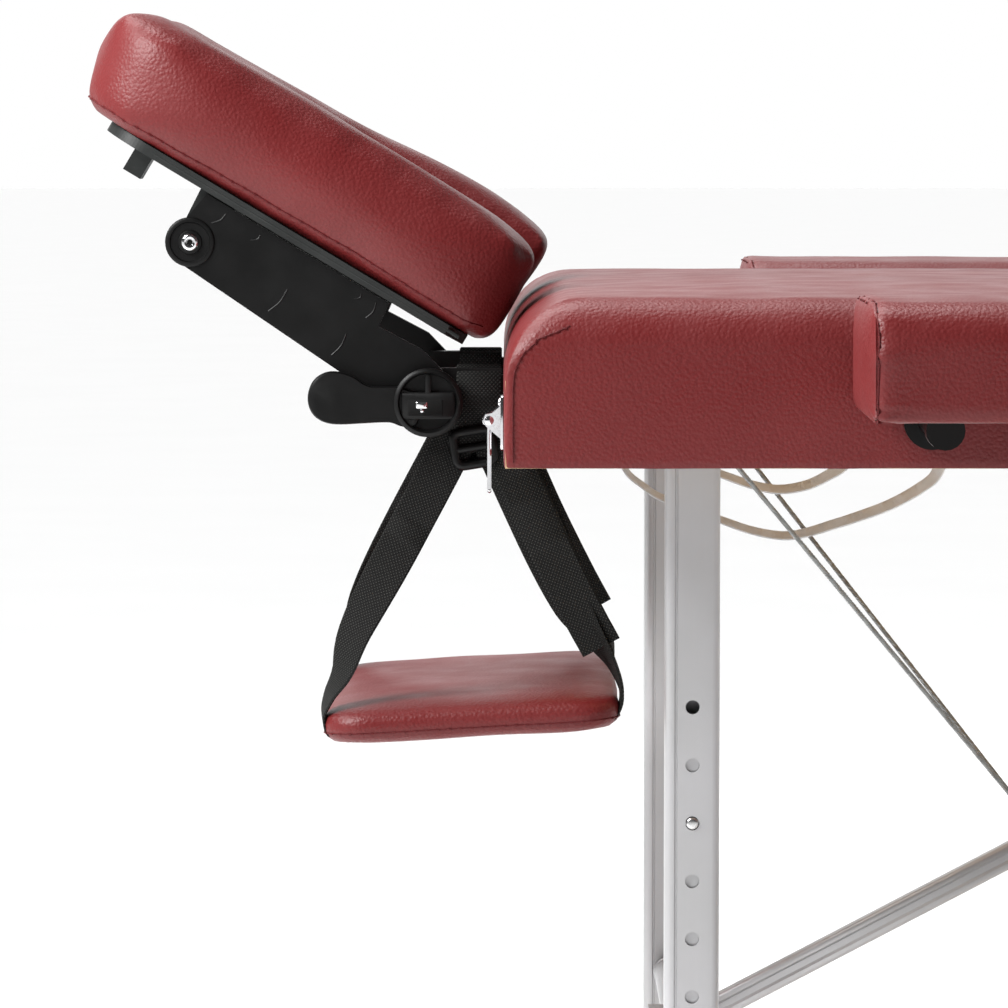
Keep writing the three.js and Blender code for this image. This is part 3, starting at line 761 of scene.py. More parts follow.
def armrest(word, side):
    """A bolster: one long cover, with end panels sewn in that swell outwards."""
    low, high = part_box(f"armrest_pad_{word}")
    centre_y = (low.y + high.y) / 2
    half_y = (high.y - low.y) / 2
    half_z = (high.z - low.z + ARM_SAG) / 2
    centre_z = high.z - half_z
    section = []
    for y, z in plan_outline(half_y, half_z, ARM_ROUND, 14, 4):
        if z < 0:
            y += math.copysign(1, y) * (half_y - abs(y)) * 0.72
            z -= (half_z + z) * 0.6
        section.append((y, z))
    first = END_PANEL[-1][0]
    run = [(low.x + a, k, a) for a, k in END_PANEL]
    for i in range(1, ARM_STEPS):
        run.append((low.x + first + (high.x - low.x - 2 * first) * i / ARM_STEPS, 1.0, 1.0))
    run += [(high.x - a, k, a) for a, k in reversed(END_PANEL)]
    rings = []
    for x, scale, from_seam in run:
        ring = []
        fade = math.exp(-abs(from_seam - 0.0016) / 0.009)
        for i, (y, z) in enumerate(section):
            gather = 0.0009 * math.sin(i * 2.1 + math.sin(i * 0.7)) * fade
            grow = 0.985 * (scale + gather / half_z)
            lift = 0.003 * max(0.0, 1 - (y / half_y) ** 2) * scale if z > 0 else 0.0
            ring.append((x, centre_y + y * grow, centre_z + z * grow + lift))
        rings.append(ring)
    build = Build()
    build.loft(rings)
    piece = build.make(f"armrest_cushion_{word}", LEATHER, None, 80)
    ripple(piece, 0.05, 0.0009, 2.0 + side)
    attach(piece, f"armrest_{word}")
    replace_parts(piece, f"armrest_pad_{word}")
    seams = []
    for x in (low.x + 0.0016, high.x - 0.0016):
        loop = section + section[:1]
        seams.append([Vector((x, centre_y + y * 0.965, centre_z + z * 0.965)) for y, z in loop])
    sew(f"armrest_seams_{word}", piece, seams, f"armrest_{word}")


# ---- Legs ---------------------------------------------------------------------------------------
def groove_profile(width, depth, radius, grooves, reach=0.0009, depth_cut=0.0007):
    """A rounded rectangle whose two wide faces carry shallow grooves at the given offsets."""
    points = rounded_outline(width / 2, depth / 2, radius, 5)
    cut = ((-reach, 0), (-reach * 0.55, depth_cut), (reach * 0.55, depth_cut), (reach, 0))
    out = []
    for a, b in zip(points, points[1:] + points[:1]):
        out.append(a)
        if abs(a[1] - b[1]) > 1e-7 or abs(a[0] - b[0]) <= radius:
            continue
        sign = 1 if a[1] > 0 else -1
        step = 1 if b[0] > a[0] else -1
        for offset in sorted(grooves, reverse=step < 0):
            for shift, sink in cut:
                out.append((offset + step * shift, a[1] - sign * sink))
    return out


LEG_WALL = 0.002
LEG_CHAMFER = 0.0006


def extruded_leg(name, node, body, radius, grooves, holes):
    """A rounded square tube with chamfered ends, its wall drilled along Y."""
    low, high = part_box(node)
    centre = (low + high) / 2
    width = high.x - low.x
    depth = high.y - low.y
    outer = groove_profile(width, depth, radius, grooves)
    inner = [(x * (width - 2 * LEG_WALL) / width, y * (depth - 2 * LEG_WALL) / depth) for x, y in outer]
    rings = []
    for z, profile, shrink in (
        (low.z, outer, LEG_CHAMFER),
        (low.z + LEG_CHAMFER, outer, 0),
        (high.z - LEG_CHAMFER, outer, 0),
        (high.z, outer, LEG_CHAMFER),
        (high.z, inner, 0),
        (low.z, inner, 0),
        (low.z, outer, LEG_CHAMFER),
    ):
        slim_x = 1 - 2 * shrink / width
        slim_y = 1 - 2 * shrink / depth
        rings.append([(centre.x + x * slim_x, centre.y + y * slim_y, z) for x, y in profile])
    build = Build()
    build.loft(rings, caps=False)
    piece = build.make(name, ALUMINIUM, None, 40)
    face_outwards(piece.data, weld=True)
    for where, size, length in holes:
        drill(piece, where, size, length)
    dress(piece, ALUMINIUM, body, 40)
    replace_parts(piece, node)


def drill(piece, where, radius, length):
    """Cuts a round hole along Y."""
    build = Build()
    reach = Vector((0, length / 2, 0))
    ends = (Vector(where) - reach, Vector(where) + reach)
    build.loft([circle(end, Vector((1, 0, 0)), Vector((0, 0, 1)), radius, 28) for end in ends])
    tool = build.plain("drill")
    face_outwards(tool.data)
    cut = piece.modifiers.new("cut", "BOOLEAN")
    cut.operation = "DIFFERENCE"
    cut.solver = "EXACT"
    cut.object = tool
    apply_modifiers(piece)
    bpy.data.objects.remove(tool)


HOLE_PITCH = 0.0331
FIRST_HOLE = 0.161
HOLE_COUNT = 7
BUTTON_INDEX = 2
HOLE_RADIUS = 0.004
HOLE_REACH = 0.014


def leg_set(end):
    for word, side in SIDES:
        outer = f"{end}_outer_leg_{word}"
        inner = f"{end}_inner_leg_{word}"
        low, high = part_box(outer)
        pivot = joint_at(f"{end}_legs_fold")
        face_y = low.y if side < 0 else high.y
        centre_x = (low.x + high.x) / 2
        levels = [pivot.z - FIRST_HOLE - i * HOLE_PITCH for i in range(HOLE_COUNT)]
        holes = [((centre_x, face_y, z), HOLE_RADIUS, HOLE_REACH) for z in levels]
        axle_hole = ((centre_x, (low.y + high.y) / 2, pivot.z), 0.0043, 0.06)
        holes_outer = holes + [axle_hole]
        extruded_leg(f"{end}_leg_extrusion_{word}", outer, f"{end}_legs", 0.0045, (-0.0093,), holes_outer)
        extruded_leg(f"{end}_leg_tube_{word}", inner, inner, 0.005, (), [holes[BUTTON_INDEX]])
        shoe(end, word)
        button(end, word, side)


SHOE_LEVELS = ((0, -0.0016), (0.0012, 0), (0.0035, 0), (0.0042, -0.0007), (0.0049, 0), (0.0065, 0),
               (0.0072, -0.0007), (0.0079, 0), (0.0105, -0.0004), (0.0117, -0.0022))


def shoe(end, word):
    """A moulded rubber foot with a tread of rings round its waist."""
    node = f"{end}_foot_cap_{word}"
    low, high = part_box(node)
    centre = middle(node)
    half = (high - low) / 2
    rings = []
    for z, grow in SHOE_LEVELS:
        outline = rounded_outline(half.x + grow, half.y + grow, 0.006, 5)
        rings.append([(centre.x + x, centre.y + y, low.z + z) for x, y in outline])
    build = Build()
    build.loft(rings)
    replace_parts(build.make(f"{end}_rubber_foot_{word}", RUBBER, f"{end}_inner_leg_{word}"), node)


def button(end, word, side):
    """A snap button: a wide base inside the tube and a domed tip in the hole."""
    node = f"{end}_leg_button_{word}"
    low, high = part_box(node)
    centre = middle(node)
    tip = low.y if side < 0 else high.y
    profile = ((-0.0078, 0.0054), (-0.0064, 0.0054), (-0.0064, 0.0035), (-0.0012, 0.0035), (-0.0004, 0.0031),
               (-0.0001, 0.002), (0.0, 0.0004))
    build = Build()
    add_turned(build, (centre.x, tip, centre.z), (0, side, 0), profile, 24)
    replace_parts(build.make(f"{end}_snap_button_{word}", STEEL, node, 50), node)


# ---- Struts and cables --------------------------------------------------------------------------
# for each strut: the clear length at its foot, and its foot eye's outer and inner radius
STRUT_FOOT = {"lower": (0.012, 0.013, 0.0093), "upper": (0.0075, 0.009, 0.0043)}
EYE_CHAMFER = 0.0008
EYE_EDGE = 0.0006


def eye_rings(centre, half, outer, inner):
    """Rings of a ring-shaped eye about Y, with softened edges."""
    profile = (
        (-half + EYE_EDGE, inner), (-half, inner + 0.0004), (-half, outer - EYE_CHAMFER),
        (-half + EYE_CHAMFER, outer), (half - EYE_CHAMFER, outer), (half, outer - EYE_CHAMFER),
        (half, inner + 0.0004), (half - EYE_EDGE, inner), (-half + EYE_EDGE, inner),
    )
    across = Vector((1, 0, 0))
    up = Vector((0, 0, 1))
    return [circle(centre + Vector((0, a, 0)), across, up, r, 28) for a, r in profile]


def strut(end, which):
    """A grooved bar with an eye at each end and a bolt through its knuckle."""
    node = f"{end}_{which}_strut"
    low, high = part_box(node)
    y = (low.y + high.y) / 2
    half = (high.y - low.y) / 2
    pivot = joint_at(f"{end}_{which}_strut_fold")
    start = Vector((pivot.x, y, pivot.z))
    finish = Vector((KNUCKLE[end].x, y, KNUCKLE[end].z))
    length = (finish - start).length
    along = (finish - start).normalized()
    up = Vector((0, 1, 0)).cross(along)
    clear, outer, bore = STRUT_FOOT[which]
    profile = groove_profile(0.015, 2 * half, 0.0026, (0.0,), 0.0032, 0.0016)
    rings = []
    for where, shrink in ((clear, 0.9), (clear + 0.0008, 1), (length - 0.0078, 1), (length - 0.007, 0.9)):
        base = start + along * where
        rings.append([base + up * (a * shrink) + Vector((0, b * shrink, 0)) for a, b in profile])
    build = Build()
    build.loft(rings)
    build.loft(eye_rings(start, half, outer, bore), caps=False)
    build.loft(eye_rings(finish, half, 0.009, 0.003), caps=False)
    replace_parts(build.make(f"{end}_{which}_strut_bar", ALUMINIUM, node, 40), node)
    outward = -1 if which == "lower" else 1
    profile = ((0.0001, 0.0062), (0.0012, 0.0062), (0.0013, 0.0045), (0.0036, 0.0042), (0.0043, 0.003),
               (0.0044, 0.0004))
    bolt = Build()
    add_turned(bolt, (finish.x, y + outward * half, finish.z), (0, outward, 0), profile, 24)
    bolt.make(f"{end}_{which}_knuckle_bolt", STEEL, node)


def knuckle_of(end):
    low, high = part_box(f"{end}_upper_strut")
    radius = 0.009
    x = low.x + radius if end == "head" else high.x - radius
    return Vector((x, 0, low.z + radius))


KNUCKLE = {end: knuckle_of(end) for end in ENDS}
ROPE_RADIUS = 0.0015
ROPE_FAR_SHIFT = 0.0105
ROPE_STRANDS = 6
ROPE_LAY = 0.014
ROPE_STEPS = 150
FERRULE_RADIUS = 0.0027
EYE_RADIUS = 0.0056


def bracing_cable(end):
    """A wire rope of six strands from one leg's axle round the knuckle to the other's."""
    low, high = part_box(f"{end}_cable")
    axle = joint_at(f"{end}_legs_fold")
    sign = 1 if end == "head" else -1
    top_x, apex_x = (low.x, high.x) if end == "head" else (high.x, low.x)
    near = Vector((top_x + sign * ROPE_RADIUS, low.y + 0.0005, high.z - 0.001))
    far = Vector((near.x + sign * ROPE_FAR_SHIFT, high.y - 0.0005, high.z - 0.001))
    apex = Vector((apex_x - sign * ROPE_RADIUS, 0, low.z + 0.001))
    bend = spline((apex.lerp(near, 0.035), apex.lerp(near.lerp(far, 0.5), 0.012), apex.lerp(far, 0.035)), 6)
    path = [near.lerp(bend[0], i / ROPE_STEPS) for i in range(ROPE_STEPS)] + bend
    path += [bend[-1].lerp(far, i / ROPE_STEPS) for i in range(1, ROPE_STEPS + 1)]
    build = Build()
    frames = frames_along(path)
    for k in range(ROPE_STRANDS):
        run = 0.0
        line = []
        for i, (point, (side, up)) in enumerate(zip(path, frames)):
            if i:
                run += (point - path[i - 1]).length
            angle = 2 * math.pi * (run / ROPE_LAY + k / ROPE_STRANDS)
            line.append(point + (side * math.cos(angle) + up * math.sin(angle)) * ROPE_RADIUS * 0.62)
        add_tube(build, line, ROPE_RADIUS * 0.42, 5)
    piece = build.make(f"{end}_wire_rope", ROPE, f"{end}_half")
    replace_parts(piece, f"{end}_cable")
    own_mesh(piece)
    for (word, _), start in zip(SIDES, (near, far)):
        sleeve = Build()
        direction = (apex - start).normalized()
        add_tube(sleeve, [start + direction * (0.001 + 0.002 * i) for i in range(10)], FERRULE_RADIUS, 14)
        hang = Vector((axle.x, start.y, axle.z))
        across = (start - hang).normalized() * EYE_RADIUS
        wrap = Vector((-across.z, 0, across.x))
        add_tube(sleeve, spline((start, hang + wrap, hang - across, hang - wrap, start), 8), 0.0012, 8)
        sleeve.make(f"{end}_cable_ferrule_{word}", STEEL, f"{end}_half")


TAPE_WIDTH = 0.009
TAPE_TURN = (14, 52)


def elastic(name, arc):
    """A flat tape hung in an arc, turned a little more to the side towards its inner end."""
    low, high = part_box(name)
    y = (low.y + high.y) / 2
    top = high.z - 0.0008
    drop = top - low.z - 0.001
    start = low.x + 0.002
    length = high.x - 0.002 - start
    curve = spline([(start + length * along, y, top - drop * share) for along, share in arc], 12)
    sides = []
    for i in range(len(curve)):
        tangent = tangent_at(curve, i)
        turn = math.radians(TAPE_TURN[0] + (TAPE_TURN[1] - TAPE_TURN[0]) * i / (len(curve) - 1))
        sides.append(Vector((-tangent.z * math.sin(turn), math.cos(turn), tangent.x * math.sin(turn))))
    build = Build()
    add_ribbon(build, curve, sides, TAPE_WIDTH, 0.0011)
    piece = build.make(f"{name}_tape", ELASTIC, "head_half")
    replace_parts(piece, name)
    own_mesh(piece)


def crossbar(end):
    node = f"{end}_crossbar"
    polish(node, ALUMINIUM, 0.0006)
    pivot = joint_at(f"{end}_lower_strut_fold")
    low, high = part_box(node)
    profile = ((0.0, 0.0085), (0.0004, 0.0096), (0.0060, 0.0096), (0.0064, 0.0093), (0.0064, 0.0088))
    for word, side in SIDES:
        collar = Build()
        edge = low.y if side < 0 else high.y
        add_turned(collar, (pivot.x, edge, pivot.z), (0, -side, 0), profile, 32)
        collar.make(f"{end}_crossbar_collar_{word}", ALUMINIUM, f"{end}_legs")


# ---- CAD nodes that stay ------------------------------------------------------------------------
def polish(node, material, bevel, segments=2):
    """Keeps a CAD node, with a better material and softened edges."""
    piece = frame["nodes"][node]
    piece.data.materials.clear()
    piece.data.materials.append(material)
    soft = piece.modifiers.new("soft_edges", "BEVEL")
    soft.width = bevel
    soft.segments = segments
    soft.limit_method = "ANGLE"
    soft.angle_limit = math.radians(35)
    soft.harden_normals = False
    piece.data.shade_smooth()
    piece.data.set_sharp_from_angle(angle=math.radians(35))


def kept_nodes():
    for end in ENDS:
        polish(f"{end}_frame", WOOD, 0.0008)
        polish(f"{end}_hinge_leaf", STEEL, 0.0003, 1)
        polish(f"{end}_leg_axle", STEEL, 0.0005)
    polish("cradle_platform", GREY_PLASTIC, 0.0008)
    polish("cradle_base", PLASTIC, 0.0015)
    polish("cradle_axle", STEEL, 0.0005)
    for word, _ in SIDES:
        polish(f"cradle_arm_{word}", PLASTIC, 0.0009)
        polish(f"armrest_frame_{word}", PLASTIC, 0.0010)
        for i in (1, 2):
            polish(f"armrest_socket_{word}_{i}", PLASTIC, 0.0012)


# ---- Latches ------------------------------------------------------------------------------------
HOOK_HALF = 0.0028
HOOK_ROD = 0.0012
HOOK_EYE = ((-0.0072, 0.0021), (-0.0074, 0.0036), (-0.0066, 0.0040), (0.0066, 0.0040), (0.0074, 0.0036),
            (0.0072, 0.0021), (-0.0072, 0.0021))


def latch_hook(word):
    """A bent rod: an eye at the top and a narrow loop below."""
    node = f"latch_hook_{word}"
    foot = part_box(node)[0].z
    pivot = joint_at(f"latch_hook_swing_{word}")
    arm = ((HOOK_HALF, pivot.z - 0.003), (HOOK_HALF, foot + 0.006), (HOOK_HALF * 0.9, foot + 0.0028))
    points = [(pivot.x, pivot.y - y, z) for y, z in arm]
    points.append((pivot.x, pivot.y, foot + HOOK_ROD + 0.0002))
    points += [(pivot.x, pivot.y + y, z) for y, z in reversed(arm)]
    build = Build()
    add_tube(build, spline(points, 8), HOOK_ROD, 12)
    across = Vector((1, 0, 0))
    up = Vector((0, 0, 1))
    centre = Vector((pivot.x, pivot.y, pivot.z))
    build.loft([circle(centre + Vector((0, a, 0)), across, up, r, 24) for a, r in HOOK_EYE], caps=False)
    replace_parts(build.make(f"latch_rod_{word}", CHROME, node, 50), node)


# a rivet head as shares of its height and radius
RIVET_HEAD = ((0, 1), (0.45, 0.97), (0.85, 0.8), (1, 0.62))
RIVET_HOLLOW = ((0.8, 0.42), (0.3, 0.36))


def rivet(build, where, outward, radius, height, hollow=True):
    shape = RIVET_HEAD + (RIVET_HOLLOW if hollow else ())
    profile = [(height * a, radius * r) for a, r in shape]
    profile.append((height * (0.28 if hollow else 1.05), 0.0001))
    add_turned(build, where, outward, profile, 28)


LATCH_SIDES = (("latch_plate", "head_half", -1), ("latch_catch", "foot_half", 1))
HOOK_PIN = ((0, 0.0014), (0.0006, 0.0026), (0.0011, 0.0026), (0.0012, 0.0014), (0.0196, 0.0014),
            (0.0197, 0.0026), (0.0202, 0.0026), (0.0208, 0.0014))


def latch_plates(word):
    """Thin stamped plates: a back plate, and on the head end two rounded ears for the hook's pin."""
    for name, body, outward in LATCH_SIDES:
        node = f"{name}_{word}"
        low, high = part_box(node)
        y = (low.y + high.y) / 2
        z = (low.z + high.z) / 2
        wall = high.x if outward < 0 else low.x
        build = Build()
        outline = rounded_outline((high.y - low.y) / 2, (high.z - low.z) / 2, 0.003, 4)
        rings = []
        for depth, grow in ((0.0, 1.0), (0.0010, 1.0), (0.0014, 0.97)):
            rings.append([(wall + outward * depth, y + a * grow, z + b * grow) for a, b in outline])
        build.loft(rings)
        if outward < 0:
            pivot = joint_at(f"latch_hook_swing_{word}")
            ear = ((wall, z + 0.0110), (wall - 0.0060, pivot.z + 0.0042), (wall - 0.0100, pivot.z + 0.0034),
                   (wall - 0.0112, pivot.z), (wall - 0.0096, pivot.z - 0.0034), (wall, z - 0.0100))
            for edge in (-0.0092, 0.0082):
                build.loft([[(a, y + edge + more, b) for a, b in ear] for more in (0, 0.0011)])
            add_turned(build, (pivot.x, y - 0.0104, pivot.z), (0, 1, 0), HOOK_PIN, 20)
        else:
            lip = ((wall, z - 0.0085), (wall + 0.0047, z - 0.0085), (wall + 0.0047, z - 0.0112),
                   (wall + 0.0035, z - 0.0125), (wall, z - 0.0125))
            build.loft([[(a, y + edge, b) for a, b in lip] for edge in (-0.004, 0.004)])
        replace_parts(build.make(f"{name}_sheet_{word}", CHROME, body, 40), node)


def latch_rivets(word):
    for name, body, outward in LATCH_SIDES:
        low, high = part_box(f"{name}_{word}")
        centre_y = (low.y + high.y) / 2
        face = high.x - 0.0014 if outward < 0 else low.x + 0.0014
        build = Build()
        for z in (high.z - 0.004, low.z + 0.010):
            for y in (-0.005, 0.005):
                rivet(build, (face, centre_y + y, z), (outward, 0, 0), 0.0022, 0.0014, False)
        build.make(f"{name}_rivets_{word}", CHROME, body)


# ---- Cradle -------------------------------------------------------------------------------------
PADDLE_EDGE = (
    (-0.0164, 0.0091), (-0.0314, 0.0091), (-0.0374, 0.0110), (-0.0434, 0.0150), (-0.0514, 0.0176),
    (-0.0594, 0.0174), (-0.0664, 0.0130), (-0.0697, 0.0050), (-0.0690, -0.0030), (-0.0650, -0.0088),
    (-0.0584, -0.0120), (-0.0500, -0.0127), (-0.0364, -0.0120), (-0.0224, -0.0116), (-0.0144, -0.0140),
    (-0.0060, -0.0120), (-0.0050, 0.0050),
)


def add_block(build, x, y, z, radius):
    """A rounded bar facing -Y, placed relative to the cradle hub in X and Z."""
    half_x = (x[1] - x[0]) / 2
    half_z = (z[1] - z[0]) / 2
    centre_x = HUB.x + (x[0] + x[1]) / 2
    centre_z = HUB.z + (z[0] + z[1]) / 2
    rings = []
    for depth, inset in ((y[1], 0), (y[0] + radius * 0.4, 0), (y[0], radius * 0.4)):
        outline = rounded_outline(half_x - inset, half_z - inset, radius, 3)
        rings.append([(centre_x + a, depth, centre_z + b) for a, b in outline])
    build.loft(rings)


def cam_lever():
    """A paddle on a round hub, with the lock's slot shown as a patch of painted shade, and the bolt head in
    the hub's face.
    """
    node = "cam_lever"
    low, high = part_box(node)
    front, back = low.y, high.y
    hub_radius = (high.z - low.z) / 2
    curve = spline([(HUB.x + x, 0, HUB.z + z) for x, z in PADDLE_EDGE], 6)
    centre_x = HUB.x - 0.045
    rings = []
    for depth, shrink in ((0.0115, 0.985), (0.0105, 1.0), (0.0036, 1.0), (0.0026, 0.985), (0.0020, 0.955)):
        ring = []
        for p in curve:
            ring.append((centre_x + (p.x - centre_x) * shrink, front + depth, HUB.z + (p.z - HUB.z) * shrink))
        rings.append(ring)
    handle = Build()
    handle.loft(rings)
    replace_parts(handle.make("cam_paddle", PLASTIC, node, 40), node)
    depth = back - front
    dish = ((depth - 0.0012, 0), (depth, 0.0012), (depth + 0.0002, 0.0024), (depth - 0.0012, 0.0034),
            (depth - 0.0055, 0.0038))
    profile = [(along, hub_radius - inset) for along, inset in ((0, 0.002), (0.0015, 0.0004)) + dish]
    profile.append((depth - 0.0060, 0.0002))
    hub = Build()
    add_turned(hub, (HUB.x, back, HUB.z), (0, -1, 0), profile, 48)
    add_block(hub, (-0.0155, 0.0155), (front + 0.0010, front + 0.0060), (-0.0095, 0.0060), 0.0014)
    add_block(hub, (-0.0016, 0.0016), (front + 0.0012, front + 0.0060), (0.0040, 0.0165), 0.0005)
    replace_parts(hub.make("cam_hub", PLASTIC, node, 40), node)
    # painted shade: a thin matte near-black block set in the hub's face stands in for the shade inside the
    # lock's slot
    slot_shade = Build()
    add_block(slot_shade, (-0.0120, 0.0085), (front + 0.0006, front + 0.0030), (-0.0075, 0.0022), 0.0010)
    slot_shade.make("cam_slot_shade", HOLE_SHADE, node)
    bolt = Build()
    add_block(bolt, (-0.0070, -0.0006), (front + 0.0002, front + 0.0020), (-0.0032, 0.0006), 0.0008)
    stud = ((0, 0.0011), (0.0014, 0.001), (0.0017, 0.0004))
    add_turned(bolt, (HUB.x - 0.0036, front + 0.0020, HUB.z - 0.0046), (0, -1, 0), stud, 12)
    bolt.make("cam_bolt_head", CHROME, node)


# moulding marks on the arm panels, as start and end offsets from the tilt pivot
ARM_MARKS = (
    ((0.0565, -0.0273), (0.0454, -0.0401)),
    ((0.0907, -0.0529), (0.0820, -0.0657)),
    ((0.0125, 0.0110), (0.0210, 0.0165)),
    ((0.0350, 0.0011), (0.0408, 0.0040)),
    ((0.0950, -0.0330), (0.0995, -0.0300)),
    ((0.1020, -0.0440), (0.1080, -0.0350)),
)


ARM_BOSS = ((0, 0.0145), (0.0008, 0.0142), (0.0012, 0.0135), (0.0012, 0.0118), (0.0003, 0.0112),
            (0.0002, 0.007), (0.0016, 0.0066), (0.0018, 0.0060), (0.0018, 0.0002))
RIVET_BORE_SHADE = ((0, 0.0017), (0.0002, 0.0016), (0.00025, 0.0003))


def arm_details(word, side):
    """The pivot rivet on its raised boss with painted shade in its bore, and the moulded rib marks of each
    arm panel.
    """
    low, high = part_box(f"cradle_arm_{word}")
    face = low.y if side < 0 else high.y
    outward = Vector((0, side, 0))
    hinge = Vector((TILT_PIVOT.x, face, TILT_PIVOT.z))
    boss = Build()
    add_turned(boss, hinge, outward, ARM_BOSS, 40)
    for marks in ARM_MARKS:
        a, b = [hinge + Vector((x, 0, z)) for x, z in marks]
        bend = a.lerp(b, 0.5) + Vector((0.0012, 0, -0.0008))
        add_tube(boss, spline((a, bend, b), 5), 0.00045, 6)
    boss.make(f"cradle_arm_ribs_{word}", PLASTIC, "cradle_arms")
    pin = Build()
    rivet(pin, hinge + outward * 0.0014, outward, 0.0052, 0.0022)
    pin.make(f"cradle_rivet_{word}", CHROME, "cradle_arms")
    # painted shade: a thin near-black disc at the bottom of the rivet's hollow stands in for the shade in its
    # bore
    bore = Build()
    add_turned(bore, hinge + outward * 0.0021, outward, RIVET_BORE_SHADE, 20)
    bore.make(f"cradle_rivet_bore_shade_{word}", HOLE_SHADE, "cradle_arms")


def platform_details():
    """A raised rib along each side of the cradle plate."""
    rim = Build()
    for y in (-0.129, 0.129):
        add_tube(rim, [on_plate(0.004 + 0.205 * i / 20, 0.003, y) for i in range(21)], 0.0012, 8)
    rim.make("platform_edge_ribs", GREY_PLASTIC, "cradle_platform")


STRAP_WIDTH = 0.0245


STRAP_THICKNESS = 0.0017
STRAP_OUT = 0.1155
STRAP_LOW = 0.113
STRAP_OVER = 0.1178
STRAP_FLOOR = 0.4455


def sling_wrap(word, side):
    """The short loop of webbing that goes over the cradle's bar."""
    x = joint_at("sling_swing").x
    bar_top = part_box("cradle_base")[1].z
    loop = ((0.1168, 0.605), (0.1176, 0.63), (0.1172, bar_top - 0.006), (0.110, bar_top + 0.0014),
            (0.1027, bar_top - 0.006), (0.1024, 0.625), (0.105, 0.603), (0.1110, 0.597))
    curve = spline([(x, side * y, z) for y, z in loop], 8)
    wrap = Build()
    add_ribbon(wrap, curve, [Vector((1, 0, 0))] * len(curve), STRAP_WIDTH + 0.002, 0.0018)
    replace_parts(wrap.make(f"sling_wrap_{word}", WEBBING, "cradle_base"), f"sling_strap_{word}")


def sling_parts():
    """Each side's wrap, front and rear strap, loose end and buckle."""
    shelf_low, shelf_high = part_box("sling_shelf")
    x = joint_at("sling_swing").x
    left = shelf_low.x
    right = shelf_high.x
    rest = shelf_low.z
    for word, side in SIDES:
        sling_wrap(word, side)
        out = side * STRAP_OUT
        low = side * STRAP_LOW
        over = side * STRAP_OVER
        sling_leg(f"sling_front_strap_{word}", word, (
            (x - 0.012, out, 0.617), (x - 0.020, out, 0.600), (x - 0.046, out, 0.551),
            (x - 0.072, low, 0.5015),
            (left + 0.0105, low, 0.476), (left + 0.0030, low, 0.462), (left - 0.0006, low, 0.450),
            (left + 0.0024, low, rest + 0.0010), (left + 0.009, low, rest + 0.0008),
            (left + 0.026, low, rest + 0.0085),
        ), (0, 0, 4, 34, 58, 74, 86, 90, 90, 90))
        sling_leg(f"sling_rear_strap_{word}", word, (
            (x + 0.004, out, 0.622), (x + 0.0135, out, 0.600), (x + 0.036, out, 0.551),
            (x + 0.0545, low, 0.5136),
            (right - 0.0135, low, 0.4935), (right - 0.0040, low, 0.479), (right + 0.0012, low, 0.464),
            (right - 0.0010, low, 0.4525), (right - 0.009, low, STRAP_FLOOR + 0.0015),
            (right - 0.028, low, STRAP_FLOOR + 0.0085),
        ), (0, 0, 0, 24, 56, 76, 88, 90, 90, 90))
        sling_leg(f"sling_loose_end_{word}", word, (
            (x + 0.008, over, 0.612), (x + 0.020, over, 0.596), (x + 0.040, over, 0.552),
            (x + 0.0590, over, 0.5136), (x + 0.0715, over, 0.4905),
        ), (0, 0, 0, 3, 6))
        buckle(word, x)


def sling_leg(name, word, points, turns):
    """A strap from the bar down round the shelf's end; turns are degrees from lying across X."""
    path = spline(points, 10)
    side = dict(SIDES)[word]
    sides = []
    for i in range(len(path)):
        place = i / (len(path) - 1) * (len(turns) - 1)
        k = min(int(place), len(turns) - 2)
        turn = math.radians(turns[k] + (turns[k + 1] - turns[k]) * (place - k))
        sides.append(Vector((math.cos(turn), math.sin(turn) * side, 0)))
    build = Build()
    add_ribbon(build, path, sides, STRAP_WIDTH, STRAP_THICKNESS)
    piece = build.make(name, WEBBING, None)
    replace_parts(piece, f"sling_strap_{word}")
    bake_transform(piece)


BUCKLE_TURN = math.radians(9)


def buckle(word, x):
    """A tri-glide: a wire-like ring with one bar across, turned a little about Y."""
    node = f"sling_buckle_{word}"
    low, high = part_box(node)
    centre = middle(node)
    half_x = (high.x - low.x) / 2
    half_z = (high.z - low.z) / 2
    across = Vector((math.cos(BUCKLE_TURN), 0, math.sin(BUCKLE_TURN)))
    up = Vector((-math.sin(BUCKLE_TURN), 0, math.cos(BUCKLE_TURN)))
    hub = Vector((x - 0.003, centre.y, centre.z))
    ring = [hub + across * a + up * b for a, b in rounded_outline(half_x - 0.0022, half_z - 0.0022, 0.004, 5)]
    span = across * (half_x - 0.002)
    build = Build()
    add_tube(build, ring + ring[:1], 0.0029, 10)
    add_tube(build, [hub - span, hub + span], 0.0026, 8)
    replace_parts(build.make(f"tri_glide_{word}", PLASTIC, "cradle_base", 60), node)


SHELF_THICKNESS = 0.025
SHELF_CORNER = 0.022
SHELF_SAG = 0.0023
SHELF_EASE = 0.0052
SHELF_WAIST = SHELF_THICKNESS * 0.42
# how far in from the rim, and how far above the pad's waist
SHELF_PROFILE = (
    (0.075, -0.0138), (0.040, -0.0138), (0.012, -0.0132), (0.005, -0.0118), (0.0016, -0.0090), (0.0, -0.0050),
    (0.0, -0.0012), (0.0010, 0.0026), (0.0036, 0.0048), (0.0085, 0.0064), (0.017, 0.0076), (0.030, 0.0085),
    (0.048, 0.0088), (0.075, 0.0088),
)


